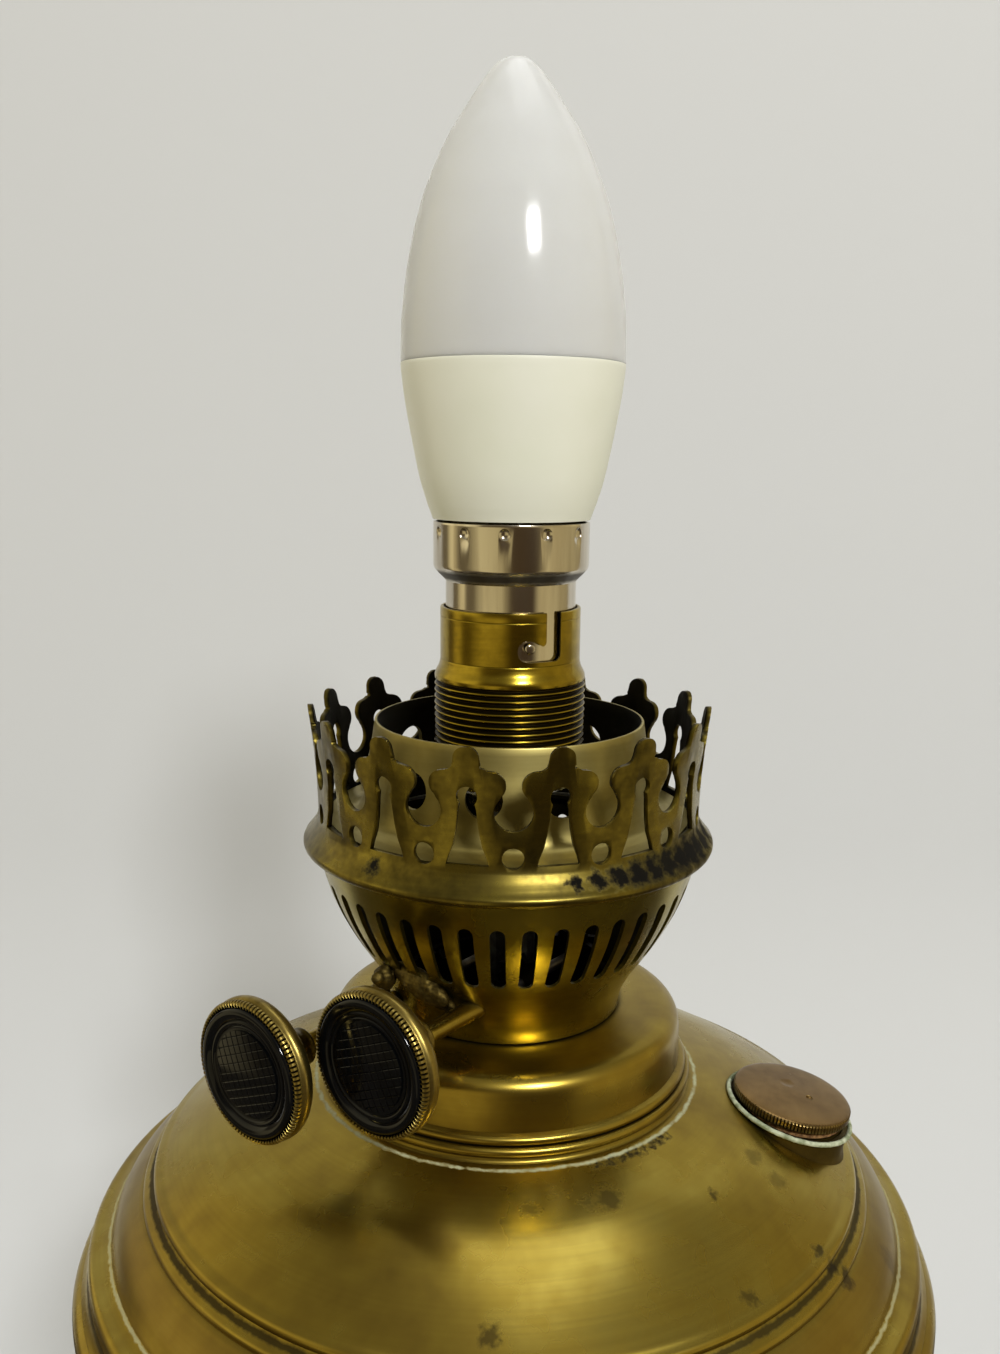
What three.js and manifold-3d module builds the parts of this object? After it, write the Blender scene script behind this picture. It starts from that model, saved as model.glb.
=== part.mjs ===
// Table oil lamp with a twin-winder burner, converted to an electric candle bulb.
// Millimetres, +Z up. The origin is the centre of the felt's underside, on the table.
// The lamp's front is -Y, and the filler cap is on its +X side.

import * as THREE from 'three';
import { mergeVertices } from 'three/addons/utils/BufferGeometryUtils.js';
import Module from 'manifold-3d';

const wasm = await Module();
wasm.setup();

// Fits that hold all over the lamp
const gap = 0.3; // air between pieces that touch or turn on the real lamp
const overrun = 3; // how far a cutter runs past the face that it leaves
const mergeTolerance = 0.0001; // points nearer than this are one point

// Facets of the round pieces
const bigFacets = 32;
const midFacets = 24;
const smallFacets = 16;
const fineFacets = 10;
const hexFacets = 6;
const holeFacets = 8;

// Foot: felt, plate, spun shell and cast ballast
const footRadius = 70;
const footBandHeight = 13; // upright band round the foot's edge
const footRise = 47; // from the top of the band to the neck
const footNeckRadius = 13;
const footBeadRadius = 1.6;
const footWall = 1.2;
const feltThickness = 2;
const feltInset = 7;
const plateThickness = 1.5;
const plateInset = 2.2;
const ballastHeight = 16;
const ballastInset = 12;

// Cable bush in the back of the foot
const bushFlangeRadius = 4.2;
const bushFlangeThickness = 1.6;
const bushShankRadius = 3;
const bushShankLength = 7;
const bushBore = 2.2;

// Hollow rod, nuts and washer that clamp foot, knop and font
const rodRadius = 4.8;
const rodBore = 3.2;
const nutRadius = 8; // across the corners
const nutThickness = 4.5;
const washerRadius = 11;
const washerThickness = 1.4;
const rodStandProud = 3; // rod end past its nut

// Turned knop between foot and font
const knopHeight = 30;
const knopRadius = 19;
const knopTopRadius = 22;

// Font: lower bowl, shoulder with its beads, dome
const fontRadius = 76; // over the rim bead
const fontWall = 1.1;
const fontBowlDepth = 54;
const fontBowlFloorRadius = 24;
const rimBeadRadius = 2.4;
const shoulderWidth = 14.1; // rim to dome edge
const shoulderHeight = 19.6;
const shoulderBeadRadius = 1.3;
const domeBeadRadius = 0.9;
const domeHeight = 15.3;
const domeBulge = 3.1; // how far the dome bows above a straight cone
const fontMouthRadius = 24;

// Collar soldered on the dome, which takes the burner
const collarRadius = 30.9;
const collarHeight = 12.6; // collar top above the dome, at the collar's wall
const collarWall = 1.5;
const collarCorner = 2.5;
const collarBeadRadius = 0.8;
const collarFootFlare = 2.8;
const collarBore = 19.3;
const lugWidth = 7;
const lugReach = 1.7;
const lugThickness = 1.6;
const burnerLockAngle = 45; // from the lug's seat to its gate

// Filler in the dome
const fillerAngle = 82.5; // from the front towards +X
const fillerOutset = 2.7; // past the middle between the collar's foot and the dome's edge
const fillerTilt = 9.5;
const fillerStand = 1.7; // neck mouth above the dome
const neckRadius = 9.3;
const neckWall = 1.8;
const neckLength = 9;
const capRadius = 10.25;
const capThickness = 1.9;
const capCrown = 0.5;
const capPlugLength = 5;
const capWasherThickness = 0.8;

// Burner: heights are taken up from the collar's top face
const bowlSeatRadius = 20.1;
const bowlRimRadius = 33.2;
const bowlHeight = 28.7;
const bowlWall = 0.8;
const bowlLipWidth = 3.4;
const airSlots = 40;
const airSlotPhase = 6.4;
const airSlotWidth = 2.4;
const airSlotBottom = 12.9;
const airSlotTop = 24.7;
const plugRadius = 18.9; // burner base, in the collar's bore
const plugDepth = 9.7;
const plugNeck = 3.4;
const plugWall = 1.2;

// Gallery: crown of spring fingers on a flared band with a rolled edge
const crownTipHeight = 53.3;
const crownTipRadius = 34.3;
const crownRadius = 32.8;
const crownWall = 0.9;
const fingers = 15;
const fingerPhase = 13.4;
const galleryEdgeRadius = 35.4;
const galleryEdgeBead = 1;
const galleryEdgeHeight = 30.1; // centre of the rolled edge
const bandHeight = 34.7; // where the flare begins
const fingerNotchRadius = 2.8;
const fingerNotchHeight = 43.4;
const fingerGap = 2.1; // between the shoulders of two fingers
const fingerShoulderRadius = 2.3;
const fingerShoulderHeight = 46.9;
const fingerTipRadius = 1.9;
const keyholeRadius = 1.6;
const keyholeHeight = 45.4;
const keyholeFootWidth = 6.2;
const keyholeFootHeight = 35.1;
const bandHoleRadius = 1.7;
const bandHoleHeight = 36.1;

// Draught tube inside the crown
const tubeRimRadius = 23.2;
const tubeRimHeight = 50.5;
const tubeFootRadius = 25;
const tubeWall = 0.8;
const tubeDeckHeight = 34.4;
const tubeHoles = 12;
const tubeHolePhase = -8;
const tubeHoleRadius = 3;

// Winders: two level shafts side by side, one a little lower and longer
const winderAngle = -37.4; // from the front towards +X
const winderSpread = 18.2; // between the shafts
const frontShaftHeight = 7.2;
const rearShaftHeight = 3;
const frontKnobReach = 45.2; // from the lamp's axis to the knob's face
const rearKnobReach = 52.5;
const shaftRadius = 0.9;
const shaftInnerReach = 14.3; // past the lamp's axis
const sleeveRadius = 1.7;
const knobRadius = 11.3;
const knobDepth = 4.2;
const knobInsertRadius = 10.2;
const knobInsertDepth = 1.6;
const knobWall = 1.1;
const knobHubRadius = 4.4;
const knobHubLength = 12.4;
const knobHubTipRadius = 2.5;
const wheelRadius = 5.2;
const wheelThickness = 1.2;
const wheelReach = 7.6;
const wheelTeeth = 12;
const wheelToothDepth = 1.1;
const bracketDepth = 5.2;
const bracketEyeRadius = 2.5;
const bearingReach = 12.2; // strip that carries the shafts' far ends, past the lamp's axis
const bearingThickness = 1.2;
const bearingHalfWidth = 11.4;

// Bayonet lampholder: its rim's height is taken from the collar's top face
const holderRimHeight = 69.9;
const holderWall = 0.6;
const holderThreadRadius = 12.85;
const holderThreadDepth = 0.5;
const holderThreadPitch = 3.3;
const holderThreads = 5;
const holderTubeLength = 8.7; // from the rim down to the flare
const holderFlareLength = 2.8;
const holderBaseHeight = 6;
const holderNeckRadius = 7;
const slotWidth = 2.4;
const lockDepth = 5.6; // from the rim down to the bayonet pins, locked
const lockAngle = 14.8; // front pin, locked
const twistAngle = 20.6; // from the lock to the slot's way out
const twistPush = 1.4; // how far the pins go down on the way
const blockFloor = 1.2; // contact block below its springs
const plungerRadius = 1.8;
const plungerSpread = 10.4;
const plungerProud = 3.9; // past the block's top
const plungerSunk = 3.4; // in the block
const springLength = 4.6;
const springWall = 0.5;
const nippleRadius = 5;
const nippleBore = 3.4;
const nippleNutRadius = 7.4;
const nippleNutThickness = 3;

// Bulb
const bulbRadius = 18.35;
const bulbCapRadius = 11;
const bulbCapWall = 0.5;
const bulbPinRise = 8.1; // pins above the cap's contacts
const bulbCapProud = 4.1; // cap seen above the holder's rim
const bulbSkirtRadius = 13.1;
const bulbSkirtSlope = 2.6; // from the cap up to the skirt
const bulbSkirtLength = 7.8;
const bulbBodyLength = 25.4;
const bulbDiffuserLength = 46.5;
const bulbTipRadius = 4.6;
const bulbWall = 1.1;
const pinRadius = 0.85;
const pinReach = 12.8;
const padRadius = 2.1;
const padThickness = 0.9;
const boardThickness = 1.4;
const driverWidth = 14;
const driverHeight = 17;

// Finishes
const finish = (color, roughness, metalness) => (
  new THREE.MeshStandardMaterial({ color, roughness, metalness })
);
const agedBrass = finish(0x9a7f35, 0.38, 1);
const brownBronze = finish(0x6b4f35, 0.5, 1);
const steel = finish(0x8d8f90, 0.4, 1);
const nickel = finish(0xc9cac8, 0.25, 1);
const castIron = finish(0x3a3a3a, 0.8, 0.6);
const blackResin = finish(0x0c0d0e, 0.2, 0);
const creamPlastic = finish(0xdad6c0, 0.4, 0);
const milkPlastic = finish(0xdedfd8, 0.35, 0);
const greenFelt = finish(0x2f4a35, 1, 0);
const corkBrown = finish(0x9c7448, 0.95, 0);
const boardGreen = finish(0x2d5a3a, 0.6, 0);
const porcelain = finish(0xe4ded0, 0.4, 0);

const radians = THREE.MathUtils.degToRad;

// Geometry helpers

// One closed skin: shared points, no collapsed triangles, faces pointing out
function closedSkin(source) {
  source.deleteAttribute('normal');
  source.deleteAttribute('uv');
  const merged = mergeVertices(source, mergeTolerance);
  const index = merged.index.array;
  const point = merged.attributes.position;
  const kept = [];
  let volume = 0;
  const [a, b, c] = [new THREE.Vector3(), new THREE.Vector3(), new THREE.Vector3()];
  for (let i = 0; i < index.length; i += 3) {
    const [p, q, r] = [index[i], index[i + 1], index[i + 2]];
    if (p === q || q === r || r === p) continue;
    kept.push(p, q, r);
    a.fromBufferAttribute(point, p);
    b.fromBufferAttribute(point, q);
    c.fromBufferAttribute(point, r);
    volume += a.dot(b.cross(c));
  }
  if (volume < 0) {
    for (let i = 0; i < kept.length; i += 3) {
      [kept[i], kept[i + 1]] = [kept[i + 1], kept[i]];
    }
  }
  merged.setIndex(kept);
  return merged;
}

// Body of revolution about Z, from [radius, height] points of a closed outline
function turned(outline, facets) {
  const loop = outline.map(([radius, height]) => new THREE.Vector2(radius, height));
  const onAxis = outline[0][0] === 0 && outline[outline.length - 1][0] === 0;
  if (!onAxis) loop.push(loop[0].clone());
  return closedSkin(new THREE.LatheGeometry(loop, facets).rotateX(Math.PI / 2));
}

// Flat outline in the XZ plane, made solid along Y from yStart to yEnd
function slab(outline, yStart, yEnd) {
  const shape = new THREE.Shape(outline.map(([x, z]) => new THREE.Vector2(x, z)));
  const bar = new THREE.ExtrudeGeometry(shape, {
    depth: yEnd - yStart,
    bevelEnabled: false,
    curveSegments: 1,
  });
  return closedSkin(bar.rotateX(Math.PI / 2).translate(0, yEnd, 0));
}

// Round bar along Y
function barAlongY(radius, yStart, yEnd, facets) {
  const bar = new THREE.CylinderGeometry(radius, radius, yEnd - yStart, facets);
  return closedSkin(bar.translate(0, (yStart + yEnd) / 2, 0));
}

function toManifold(skin) {
  return new wasm.Manifold(new wasm.Mesh({
    numProp: 3,
    vertProperties: skin.attributes.position.array,
    triVerts: new Uint32Array(skin.index.array),
  }));
}

function fromManifold(body) {
  const { vertProperties, triVerts } = body.getMesh();
  const skin = new THREE.BufferGeometry();
  skin.setAttribute('position', new THREE.BufferAttribute(new Float32Array(vertProperties), 3));
  skin.setIndex(Array.from(triVerts));
  return skin;
}

function cut(skin, cutters) {
  const whole = toManifold(skin);
  const rest = cutters.reduce((body, tool) => body.subtract(toManifold(tool)), whole);
  return fromManifold(rest.simplify(mergeTolerance));
}

function join(skin, additions) {
  const whole = toManifold(skin);
  return fromManifold(additions.reduce((body, more) => body.add(toManifold(more)), whole));
}

// The same cutter, turned round Z in equal steps
function round(tool, count, phase) {
  return Array.from({ length: count }, (_, i) => (
    tool.clone().rotateZ(radians(phase + (360 * i) / count))
  ));
}

// Points of a circular arc in an outline, angles in degrees from the +radius side
function arc(centreRadius, centreHeight, radius, from, to, steps) {
  return Array.from({ length: steps + 1 }, (_, i) => {
    const angle = radians(from + ((to - from) * i) / steps);
    return [centreRadius + radius * Math.cos(angle), centreHeight + radius * Math.sin(angle)];
  });
}

// Points of a shallow bow from one point to another, standing off the straight line by bulge
function bow([r1, z1], [r2, z2], bulge, steps) {
  const chord = Math.hypot(r2 - r1, z2 - z1);
  const [nr, nz] = [(z1 - z2) / chord, (r2 - r1) / chord];
  return Array.from({ length: steps + 1 }, (_, i) => {
    const share = i / steps;
    const lift = 4 * bulge * share * (1 - share);
    return [r1 + (r2 - r1) * share + nr * lift, z1 + (z2 - z1) * share + nz * lift];
  });
}

// Height of a polyline outline at a radius
function heightAt(outline, radius) {
  for (let i = 1; i < outline.length; i += 1) {
    const [r1, z1] = outline[i - 1];
    const [r2, z2] = outline[i];
    if ((radius - r1) * (radius - r2) <= 0) return z1 + ((z2 - z1) * (radius - r1)) / (r2 - r1);
  }
  return outline[outline.length - 1][1];
}

// Radius of a rising polyline outline at a height
function radiusAt(outline, height) {
  return heightAt(outline.map(([radius, z]) => [z, radius]), height);
}

// Points written as shares of a width and a height, from a corner
function scaled(shares, [radius, height], width, rise) {
  return shares.map(([across, up]) => [radius + across * width, height + up * rise]);
}

const shifted = (outline, across, up) => outline.map(([r, z]) => [r + across, z + up]);

const lamp = new THREE.Group();

function piece(name, skin, material, parent) {
  const mesh = new THREE.Mesh(skin, material);
  mesh.name = name;
  parent.add(mesh);
  return mesh;
}

// Heights of the stack, from the table up
const plateHeight = feltThickness + gap;
const footBottom = plateHeight + plateThickness + gap;
const footBandTop = footBottom + footBandHeight;
const footTop = footBandTop + footRise;
const knopBottom = footTop + gap;
const knopTop = knopBottom + knopHeight;
const fontFloor = knopTop + gap;
const fontRim = fontFloor + fontBowlDepth + rimBeadRadius + gap;
const domeEdge = fontRim + shoulderHeight;

// Foot

function feltPad() {
  const radius = footRadius - feltInset;
  return turned([[0, 0], [radius, 0], [radius, feltThickness], [0, feltThickness]], bigFacets);
}

function footPlate() {
  const radius = footRadius - plateInset;
  const hole = nutRadius + gap;
  const top = plateHeight + plateThickness;
  return turned([[hole, plateHeight], [radius, plateHeight], [radius, top], [hole, top]], bigFacets);
}

const footCurveShares = [
  [1, 0], [0.93, 0.1], [0.62, 0.24], [0.34, 0.41], [0.13, 0.66], [0.02, 0.9], [0, 1],
];

function footShell() {
  const beadCentre = footRadius - footBeadRadius;
  const curveFoot = [footNeckRadius, footBandTop];
  const curveWidth = beadCentre - footBeadRadius - footNeckRadius;
  const outer = scaled(footCurveShares, curveFoot, curveWidth, footRise);
  const inner = shifted(outer, -footWall, -footWall).filter(([r]) => r > rodRadius + gap);
  const outline = [
    [footRadius, footBottom],
    ...arc(beadCentre, footBandTop - footBeadRadius, footBeadRadius, 0, 90, 2),
    ...outer,
    [rodRadius + gap, footTop],
    [rodRadius + gap, footTop - footWall],
    ...inner.reverse(),
    [footRadius - footWall, footBandTop - footBeadRadius - footWall],
    [footRadius - footWall, footBottom],
  ];
  const wayOut = barAlongY(bushShankRadius + gap, footRadius / 2, footRadius + overrun, fineFacets);
  return cut(turned(outline, bigFacets), [wayOut.translate(0, 0, bushHeight)]);
}

const bushHeight = footBottom + footBandHeight / 2;

function cableBush() {
  const flangeStart = footRadius + gap;
  const shankStart = flangeStart - bushShankLength;
  const flangeEnd = flangeStart + bushFlangeThickness;
  const flange = barAlongY(bushFlangeRadius, flangeStart, flangeEnd, smallFacets);
  const shank = barAlongY(bushShankRadius, shankStart, flangeEnd, smallFacets);
  const bore = barAlongY(bushBore, shankStart - overrun, flangeEnd + overrun, fineFacets);
  return cut(join(flange, [shank]), [bore]).translate(0, 0, bushHeight);
}

function ballast() {
  const radius = footRadius - ballastInset;
  const bottom = footBottom;
  const top = bottom + ballastHeight;
  const bore = rodRadius + gap;
  const shelf = lowerWasherBottom + washerThickness + gap;
  const washerRecess = washerRadius + gap;
  return turned([
    [washerRecess, bottom],
    [radius, bottom],
    [radius, (bottom + top) / 2],
    [(radius + washerRecess) / 2, top],
    [bore, top],
    [bore, shelf],
    [washerRecess, shelf],
  ], midFacets);
}

function hexNut(radius, bore, bottom, thickness) {
  const top = bottom + thickness;
  const under = bottom - overrun;
  const over = top + overrun;
  return cut(
    turned([[0, bottom], [radius, bottom], [radius, top], [0, top]], hexFacets),
    [turned([[0, under], [bore, under], [bore, over], [0, over]], smallFacets)],
  );
}

function ringBetween(inner, outer, bottom, top, facets) {
  return turned([[inner, bottom], [outer, bottom], [outer, top], [inner, top]], facets);
}

const rodHole = rodRadius + gap;
const lowerNutBottom = footBottom;
const lowerWasherBottom = lowerNutBottom + nutThickness + gap;
const upperWasherBottom = fontFloor + fontWall + gap;
const upperNutBottom = upperWasherBottom + washerThickness + gap;
const rodBottom = lowerNutBottom;
const rodTop = upperNutBottom + nutThickness + rodStandProud;

piece('felt_pad', feltPad(), greenFelt, lamp);
piece('foot_plate', footPlate(), steel, lamp);
piece('foot_ballast', ballast(), castIron, lamp);
piece('foot_shell', footShell(), agedBrass, lamp);
piece('cable_bush', cableBush(), blackResin, lamp);
piece('tie_rod', ringBetween(rodBore, rodRadius, rodBottom, rodTop, smallFacets), steel, lamp);
piece('tie_nut_lower', hexNut(nutRadius, rodHole, lowerNutBottom, nutThickness), steel, lamp);
piece('tie_nut_upper', hexNut(nutRadius, rodHole, upperNutBottom, nutThickness), steel, lamp);
for (const [level, bottom] of [['lower', lowerWasherBottom], ['upper', upperWasherBottom]]) {
  const washer = ringBetween(rodHole, washerRadius, bottom, bottom + washerThickness, smallFacets);
  piece(`tie_washer_${level}`, washer, steel, lamp);
}

// Knop

const knopShares = [
  [0.7, 0], [0.78, 0.05], [0.72, 0.12], [0.9, 0.25], [1, 0.36], [0.9, 0.48], [0.66, 0.6],
  [0.62, 0.74], [0.78, 0.88],
];

function knop() {
  const outer = scaled(knopShares, [0, knopBottom], knopRadius, knopHeight);
  return turned([
    [rodHole, knopBottom],
    ...outer,
    [knopTopRadius, knopTop - footWall],
    [knopTopRadius, knopTop],
    [rodHole, knopTop],
  ], midFacets);
}

piece('stem_knop', knop(), agedBrass, lamp);

// Font

const rimCentre = fontRadius - rimBeadRadius;
const domeEdgeRadius = fontRadius - shoulderWidth;

function fontLower() {
  const top = fontRim - rimBeadRadius - gap;
  const wide = rimCentre - fontBowlFloorRadius;
  const sweep = (radius, depth) => arc(0, 0, 1, 0, -90, 7).map(([across, up]) => (
    [fontBowlFloorRadius + across * radius, top + up * depth]
  ));
  const outer = sweep(wide, fontBowlDepth);
  const inner = sweep(wide - fontWall, fontBowlDepth - fontWall).reverse();
  return turned([
    ...outer,
    [rodHole, fontFloor],
    [rodHole, fontFloor + fontWall],
    ...inner,
  ], bigFacets);
}

// Dome outline, from the mouth out to its edge
const domeOutline = bow(
  [fontMouthRadius, domeEdge + domeHeight],
  [domeEdgeRadius, domeEdge],
  domeBulge,
  4,
);

const shoulderShares = {
  domeBead: [0.93, 0.87],
  domeGroove: [0.975, 0.945],
  bandTop: [0.84, 0.84],
  bandFoot: [0.51, 0.55],
  lowerGroove: [0.47, 0.48],
  lowerBead: [0.365, 0.375],
  rimGroove: [0.25, 0.2],
};

// A place on the shoulder: across from the rim to the dome edge, up from the rim
function onShoulder([across, up]) {
  return [fontRadius - across * shoulderWidth, fontRim + up * shoulderHeight];
}

function fontUpper() {
  const [domeBeadR, domeBeadZ] = onShoulder(shoulderShares.domeBead);
  const [lowerBeadR, lowerBeadZ] = onShoulder(shoulderShares.lowerBead);
  const bandTop = onShoulder(shoulderShares.bandTop);
  const bandFoot = onShoulder(shoulderShares.bandFoot);
  const outer = [
    ...domeOutline,
    onShoulder(shoulderShares.domeGroove),
    ...arc(domeBeadR, domeBeadZ, domeBeadRadius, 80, -30, 2),
    ...bow(bandTop, bandFoot, domeBeadRadius / 2, 1),
    onShoulder(shoulderShares.lowerGroove),
    ...arc(lowerBeadR, lowerBeadZ, shoulderBeadRadius, 100, -35, 3),
    onShoulder(shoulderShares.rimGroove),
    ...arc(rimCentre, fontRim, rimBeadRadius, 80, -80, 4),
  ];
  const innerRim = rimCentre - fontWall;
  const inner = [
    [innerRim, fontRim - rimBeadRadius / 2],
    [innerRim, fontRim + rimBeadRadius / 2],
    shifted([bandFoot], -fontWall * 2, -fontWall)[0],
    shifted([bandTop], -fontWall * 2, -fontWall)[0],
    [domeEdgeRadius - fontWall, domeEdge - fontWall],
    ...shifted(domeOutline, 0, -fontWall).reverse().filter((_, i) => i % 2 === 0).slice(1),
  ];
  return cut(turned([...outer, ...inner], bigFacets), [fillerBar(neckRadius + gap, overrun * 3)]);
}

// Filler: everything on it shares one leaning axis
const fillerReach = (collarRadius + collarFootFlare + domeEdgeRadius) / 2 + fillerOutset;
const fillerMouth = heightAt(domeOutline, fillerReach) + fillerStand;

function leanToFiller(target) {
  return target
    .rotateY(radians(fillerTilt))
    .translate(fillerReach, 0, fillerMouth)
    .rotateZ(radians(fillerAngle - 90));
}

function fillerBar(radius, above) {
  const below = -neckLength - overrun;
  return leanToFiller(turned([[0, below], [radius, below], [radius, above], [0, above]], midFacets));
}

const fillerGroup = new THREE.Group();
const fillerTurn = new THREE.Group();
fillerTurn.rotation.z = radians(fillerAngle - 90);
fillerGroup.position.set(fillerReach, 0, fillerMouth);
fillerGroup.rotation.y = radians(fillerTilt);
fillerTurn.add(fillerGroup);
lamp.add(fillerTurn);

const neckBore = neckRadius - neckWall;
const capUnderside = capWasherThickness + 2 * gap;
const capTop = capUnderside + capThickness;

function fillerCap() {
  const plugBottom = capUnderside - capPlugLength;
  const plug = neckBore - gap;
  const edge = capThickness / 4;
  return turned([
    [0, plugBottom],
    [plug, plugBottom],
    [plug, capUnderside],
    [capRadius - edge, capUnderside],
    [capRadius, capUnderside + edge],
    [capRadius, capTop - edge],
    [capRadius - edge, capTop],
    [capRadius / 2, capTop + (3 * capCrown) / 4],
    [0, capTop + capCrown],
  ], midFacets);
}

function fillerWasher() {
  return ringBetween(neckBore, neckRadius, gap, gap + capWasherThickness, midFacets);
}

piece('font_lower', fontLower(), agedBrass, lamp);
piece('font_upper', fontUpper(), agedBrass, lamp);
piece('filler_neck', ringBetween(neckBore, neckRadius, -neckLength, 0, midFacets), agedBrass, fillerGroup);
piece('filler_washer', fillerWasher(), corkBrown, fillerGroup);
piece('filler_cap', fillerCap(), brownBronze, fillerGroup);

// Collar

const collarTop = heightAt(domeOutline, collarRadius) + gap + collarHeight;

function fontCollar() {
  const flare = collarRadius + collarFootFlare;
  const footOut = heightAt(domeOutline, flare) + gap;
  const inside = collarRadius - collarWall;
  const footIn = heightAt(domeOutline, inside) + gap;
  const beadStep = 2 * collarBeadRadius;
  const lowBead = footOut + beadStep;
  const highBead = lowBead + beadStep;
  const corner = collarTop - collarCorner;
  const outline = [
    [flare, footOut],
    ...arc(collarRadius + beadStep - collarBeadRadius / 2, lowBead, collarBeadRadius, -50, 50, 2),
    ...arc(collarRadius + collarBeadRadius / 2, highBead, collarBeadRadius, -40, 80, 2),
    [collarRadius, highBead + beadStep],
    ...arc(collarRadius - collarCorner, corner, collarCorner, 0, 90, 3),
    [collarBore, collarTop],
    [collarBore, collarTop - collarWall],
    [inside - collarWall, collarTop - collarWall],
    [inside, corner],
    [inside, footIn],
  ];
  const gate = new THREE.BoxGeometry(
    2 * (collarBore + lugReach + gap),
    lugWidth + 2 * gap,
    collarWall + 2 * overrun,
  );
  const gates = closedSkin(gate)
    .translate(0, 0, collarTop - collarWall / 2)
    .rotateZ(radians(burnerLockAngle));
  return cut(turned(outline, bigFacets), [gates]);
}

piece('font_collar', fontCollar(), agedBrass, lamp);

// Burner

const burner = new THREE.Group();
burner.position.z = collarTop;
lamp.add(burner);

const bowlShares = [
  [0, 0], [0.01, 0.17], [0.09, 0.26], [0.43, 0.44], [0.71, 0.65], [0.92, 0.88],
];
const bowlWidth = bowlRimRadius - bowlSeatRadius;
const bowlOutline = [
  ...scaled(bowlShares, [bowlSeatRadius, gap], bowlWidth, bowlHeight - gap),
  [bowlRimRadius, bowlHeight],
];

function winderBar(radius, side, height, from, to, facets) {
  return barAlongY(radius, -to, -from, facets)
    .translate(side, 0, height)
    .rotateZ(radians(winderAngle));
}

function burnerBowl() {
  const inner = shifted(bowlOutline.slice(0, -1), -bowlWall, 0).reverse();
  const skin = turned([
    ...bowlOutline,
    [bowlRimRadius - bowlLipWidth, bowlHeight],
    [bowlRimRadius - bowlLipWidth, bowlHeight - bowlWall],
    ...inner,
  ], airSlots).rotateZ(radians(airSlotPhase + 180 / airSlots));
  const half = airSlotWidth / 2;
  const slot = slab([
    [half, airSlotBottom],
    [half, airSlotTop],
    [-half, airSlotTop],
    [-half, airSlotBottom],
  ], -bowlRimRadius - overrun, -bowlSeatRadius);
  const clear = shaftRadius + gap;
  const away = bowlRimRadius + overrun;
  const side = winderSpread / 2;
  return cut(skin, [
    ...round(slot, airSlots, airSlotPhase),
    winderBar(clear, side, frontShaftHeight, 0, away, fineFacets),
    winderBar(clear, -side, rearShaftHeight, 0, away, fineFacets),
  ]);
}

const baseFloorTop = plugWall - plugDepth;

function burnerBase() {
  const bottom = -plugDepth;
  const inside = plugRadius - plugWall;
  const cup = turned([
    [nippleRadius + gap, bottom],
    [plugRadius, bottom],
    [plugRadius, plugNeck],
    [inside, plugNeck],
    [inside, baseFloorTop],
    [nippleRadius + gap, baseFloorTop],
  ], midFacets);
  const lugTop = -collarWall - gap;
  const reach = collarBore + lugReach - gap;
  const lugs = closedSkin(new THREE.BoxGeometry(2 * reach, lugWidth, lugThickness))
    .translate(0, 0, lugTop - lugThickness / 2);
  const hollow = turned([
    [0, lugTop - lugThickness - overrun / 2],
    [inside, lugTop - lugThickness - overrun / 2],
    [inside, lugTop + overrun / 2],
    [0, lugTop + overrun / 2],
  ], midFacets);
  const clear = shaftRadius + gap;
  const side = winderSpread / 2;
  const away = plugRadius + overrun;
  return cut(join(cup, [cut(lugs, [hollow])]), [
    winderBar(clear, -side, rearShaftHeight, 0, away, fineFacets),
  ]);
}

piece('burner_bowl', burnerBowl(), agedBrass, burner);
piece('burner_base', burnerBase(), agedBrass, burner);

// Draught tube: tube, deck and a skirt that stands on the bowl's lip

function draughtTube() {
  const tubeHoleHeight = (tubeRimHeight + tubeDeckHeight) / 2;
  const skirt = crownRadius - crownWall - gap - tubeWall / 2;
  const skirtBottom = bowlHeight + gap;
  const half = (tubeRimHeight + tubeDeckHeight) / 2;
  const waist = (tubeRimRadius + tubeFootRadius) / 2;
  const fillet = 2 * tubeWall;
  const skin = turned([
    [tubeRimRadius, tubeRimHeight],
    [waist, half],
    [tubeFootRadius, tubeDeckHeight + 2 * fillet],
    [tubeFootRadius + fillet, tubeDeckHeight],
    [skirt, tubeDeckHeight],
    [skirt, skirtBottom],
    [skirt - tubeWall, skirtBottom],
    [skirt - tubeWall, tubeDeckHeight - tubeWall],
    [tubeFootRadius, tubeDeckHeight - tubeWall],
    [tubeFootRadius - tubeWall, tubeDeckHeight + fillet],
    [waist - tubeWall, half],
    [tubeRimRadius - tubeWall, tubeRimHeight],
  ], 2 * tubeHoles).rotateZ(radians(tubeHolePhase + 90 / tubeHoles));
  const hole = barAlongY(tubeHoleRadius, -tubeFootRadius - overrun, -tubeRimRadius / 2, holeFacets);
  return cut(skin, round(hole.translate(0, 0, tubeHoleHeight), tubeHoles, tubeHolePhase));
}

piece('draught_tube', draughtTube(), brownBronze, burner);

// Gallery

// Half of the opening between two fingers, from its round foot up over a shoulder to a tip
function fingerGapHalf() {
  const halfPitch = (Math.PI * crownRadius) / fingers;
  const throat = fingerGap / 2;
  const shoulderCentre = throat + fingerShoulderRadius;
  const tipCentre = crownTipHeight - fingerTipRadius;
  return [
    ...arc(0, fingerNotchHeight, fingerNotchRadius, -90, 30, 3),
    ...arc(shoulderCentre, fingerShoulderHeight, fingerShoulderRadius, 190, 70, 2),
    ...arc(halfPitch, tipCentre, fingerTipRadius, 225, 110, 2),
  ];
}

function fingerOpening() {
  const right = fingerGapHalf();
  const above = crownTipHeight + overrun;
  const [lastAcross] = right[right.length - 1];
  const left = right.slice(1).map(([x, z]) => [-x, z]).reverse();
  return [...right.slice(0, -1), [lastAcross, above], [-lastAcross, above], ...left.slice(1)];
}

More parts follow.
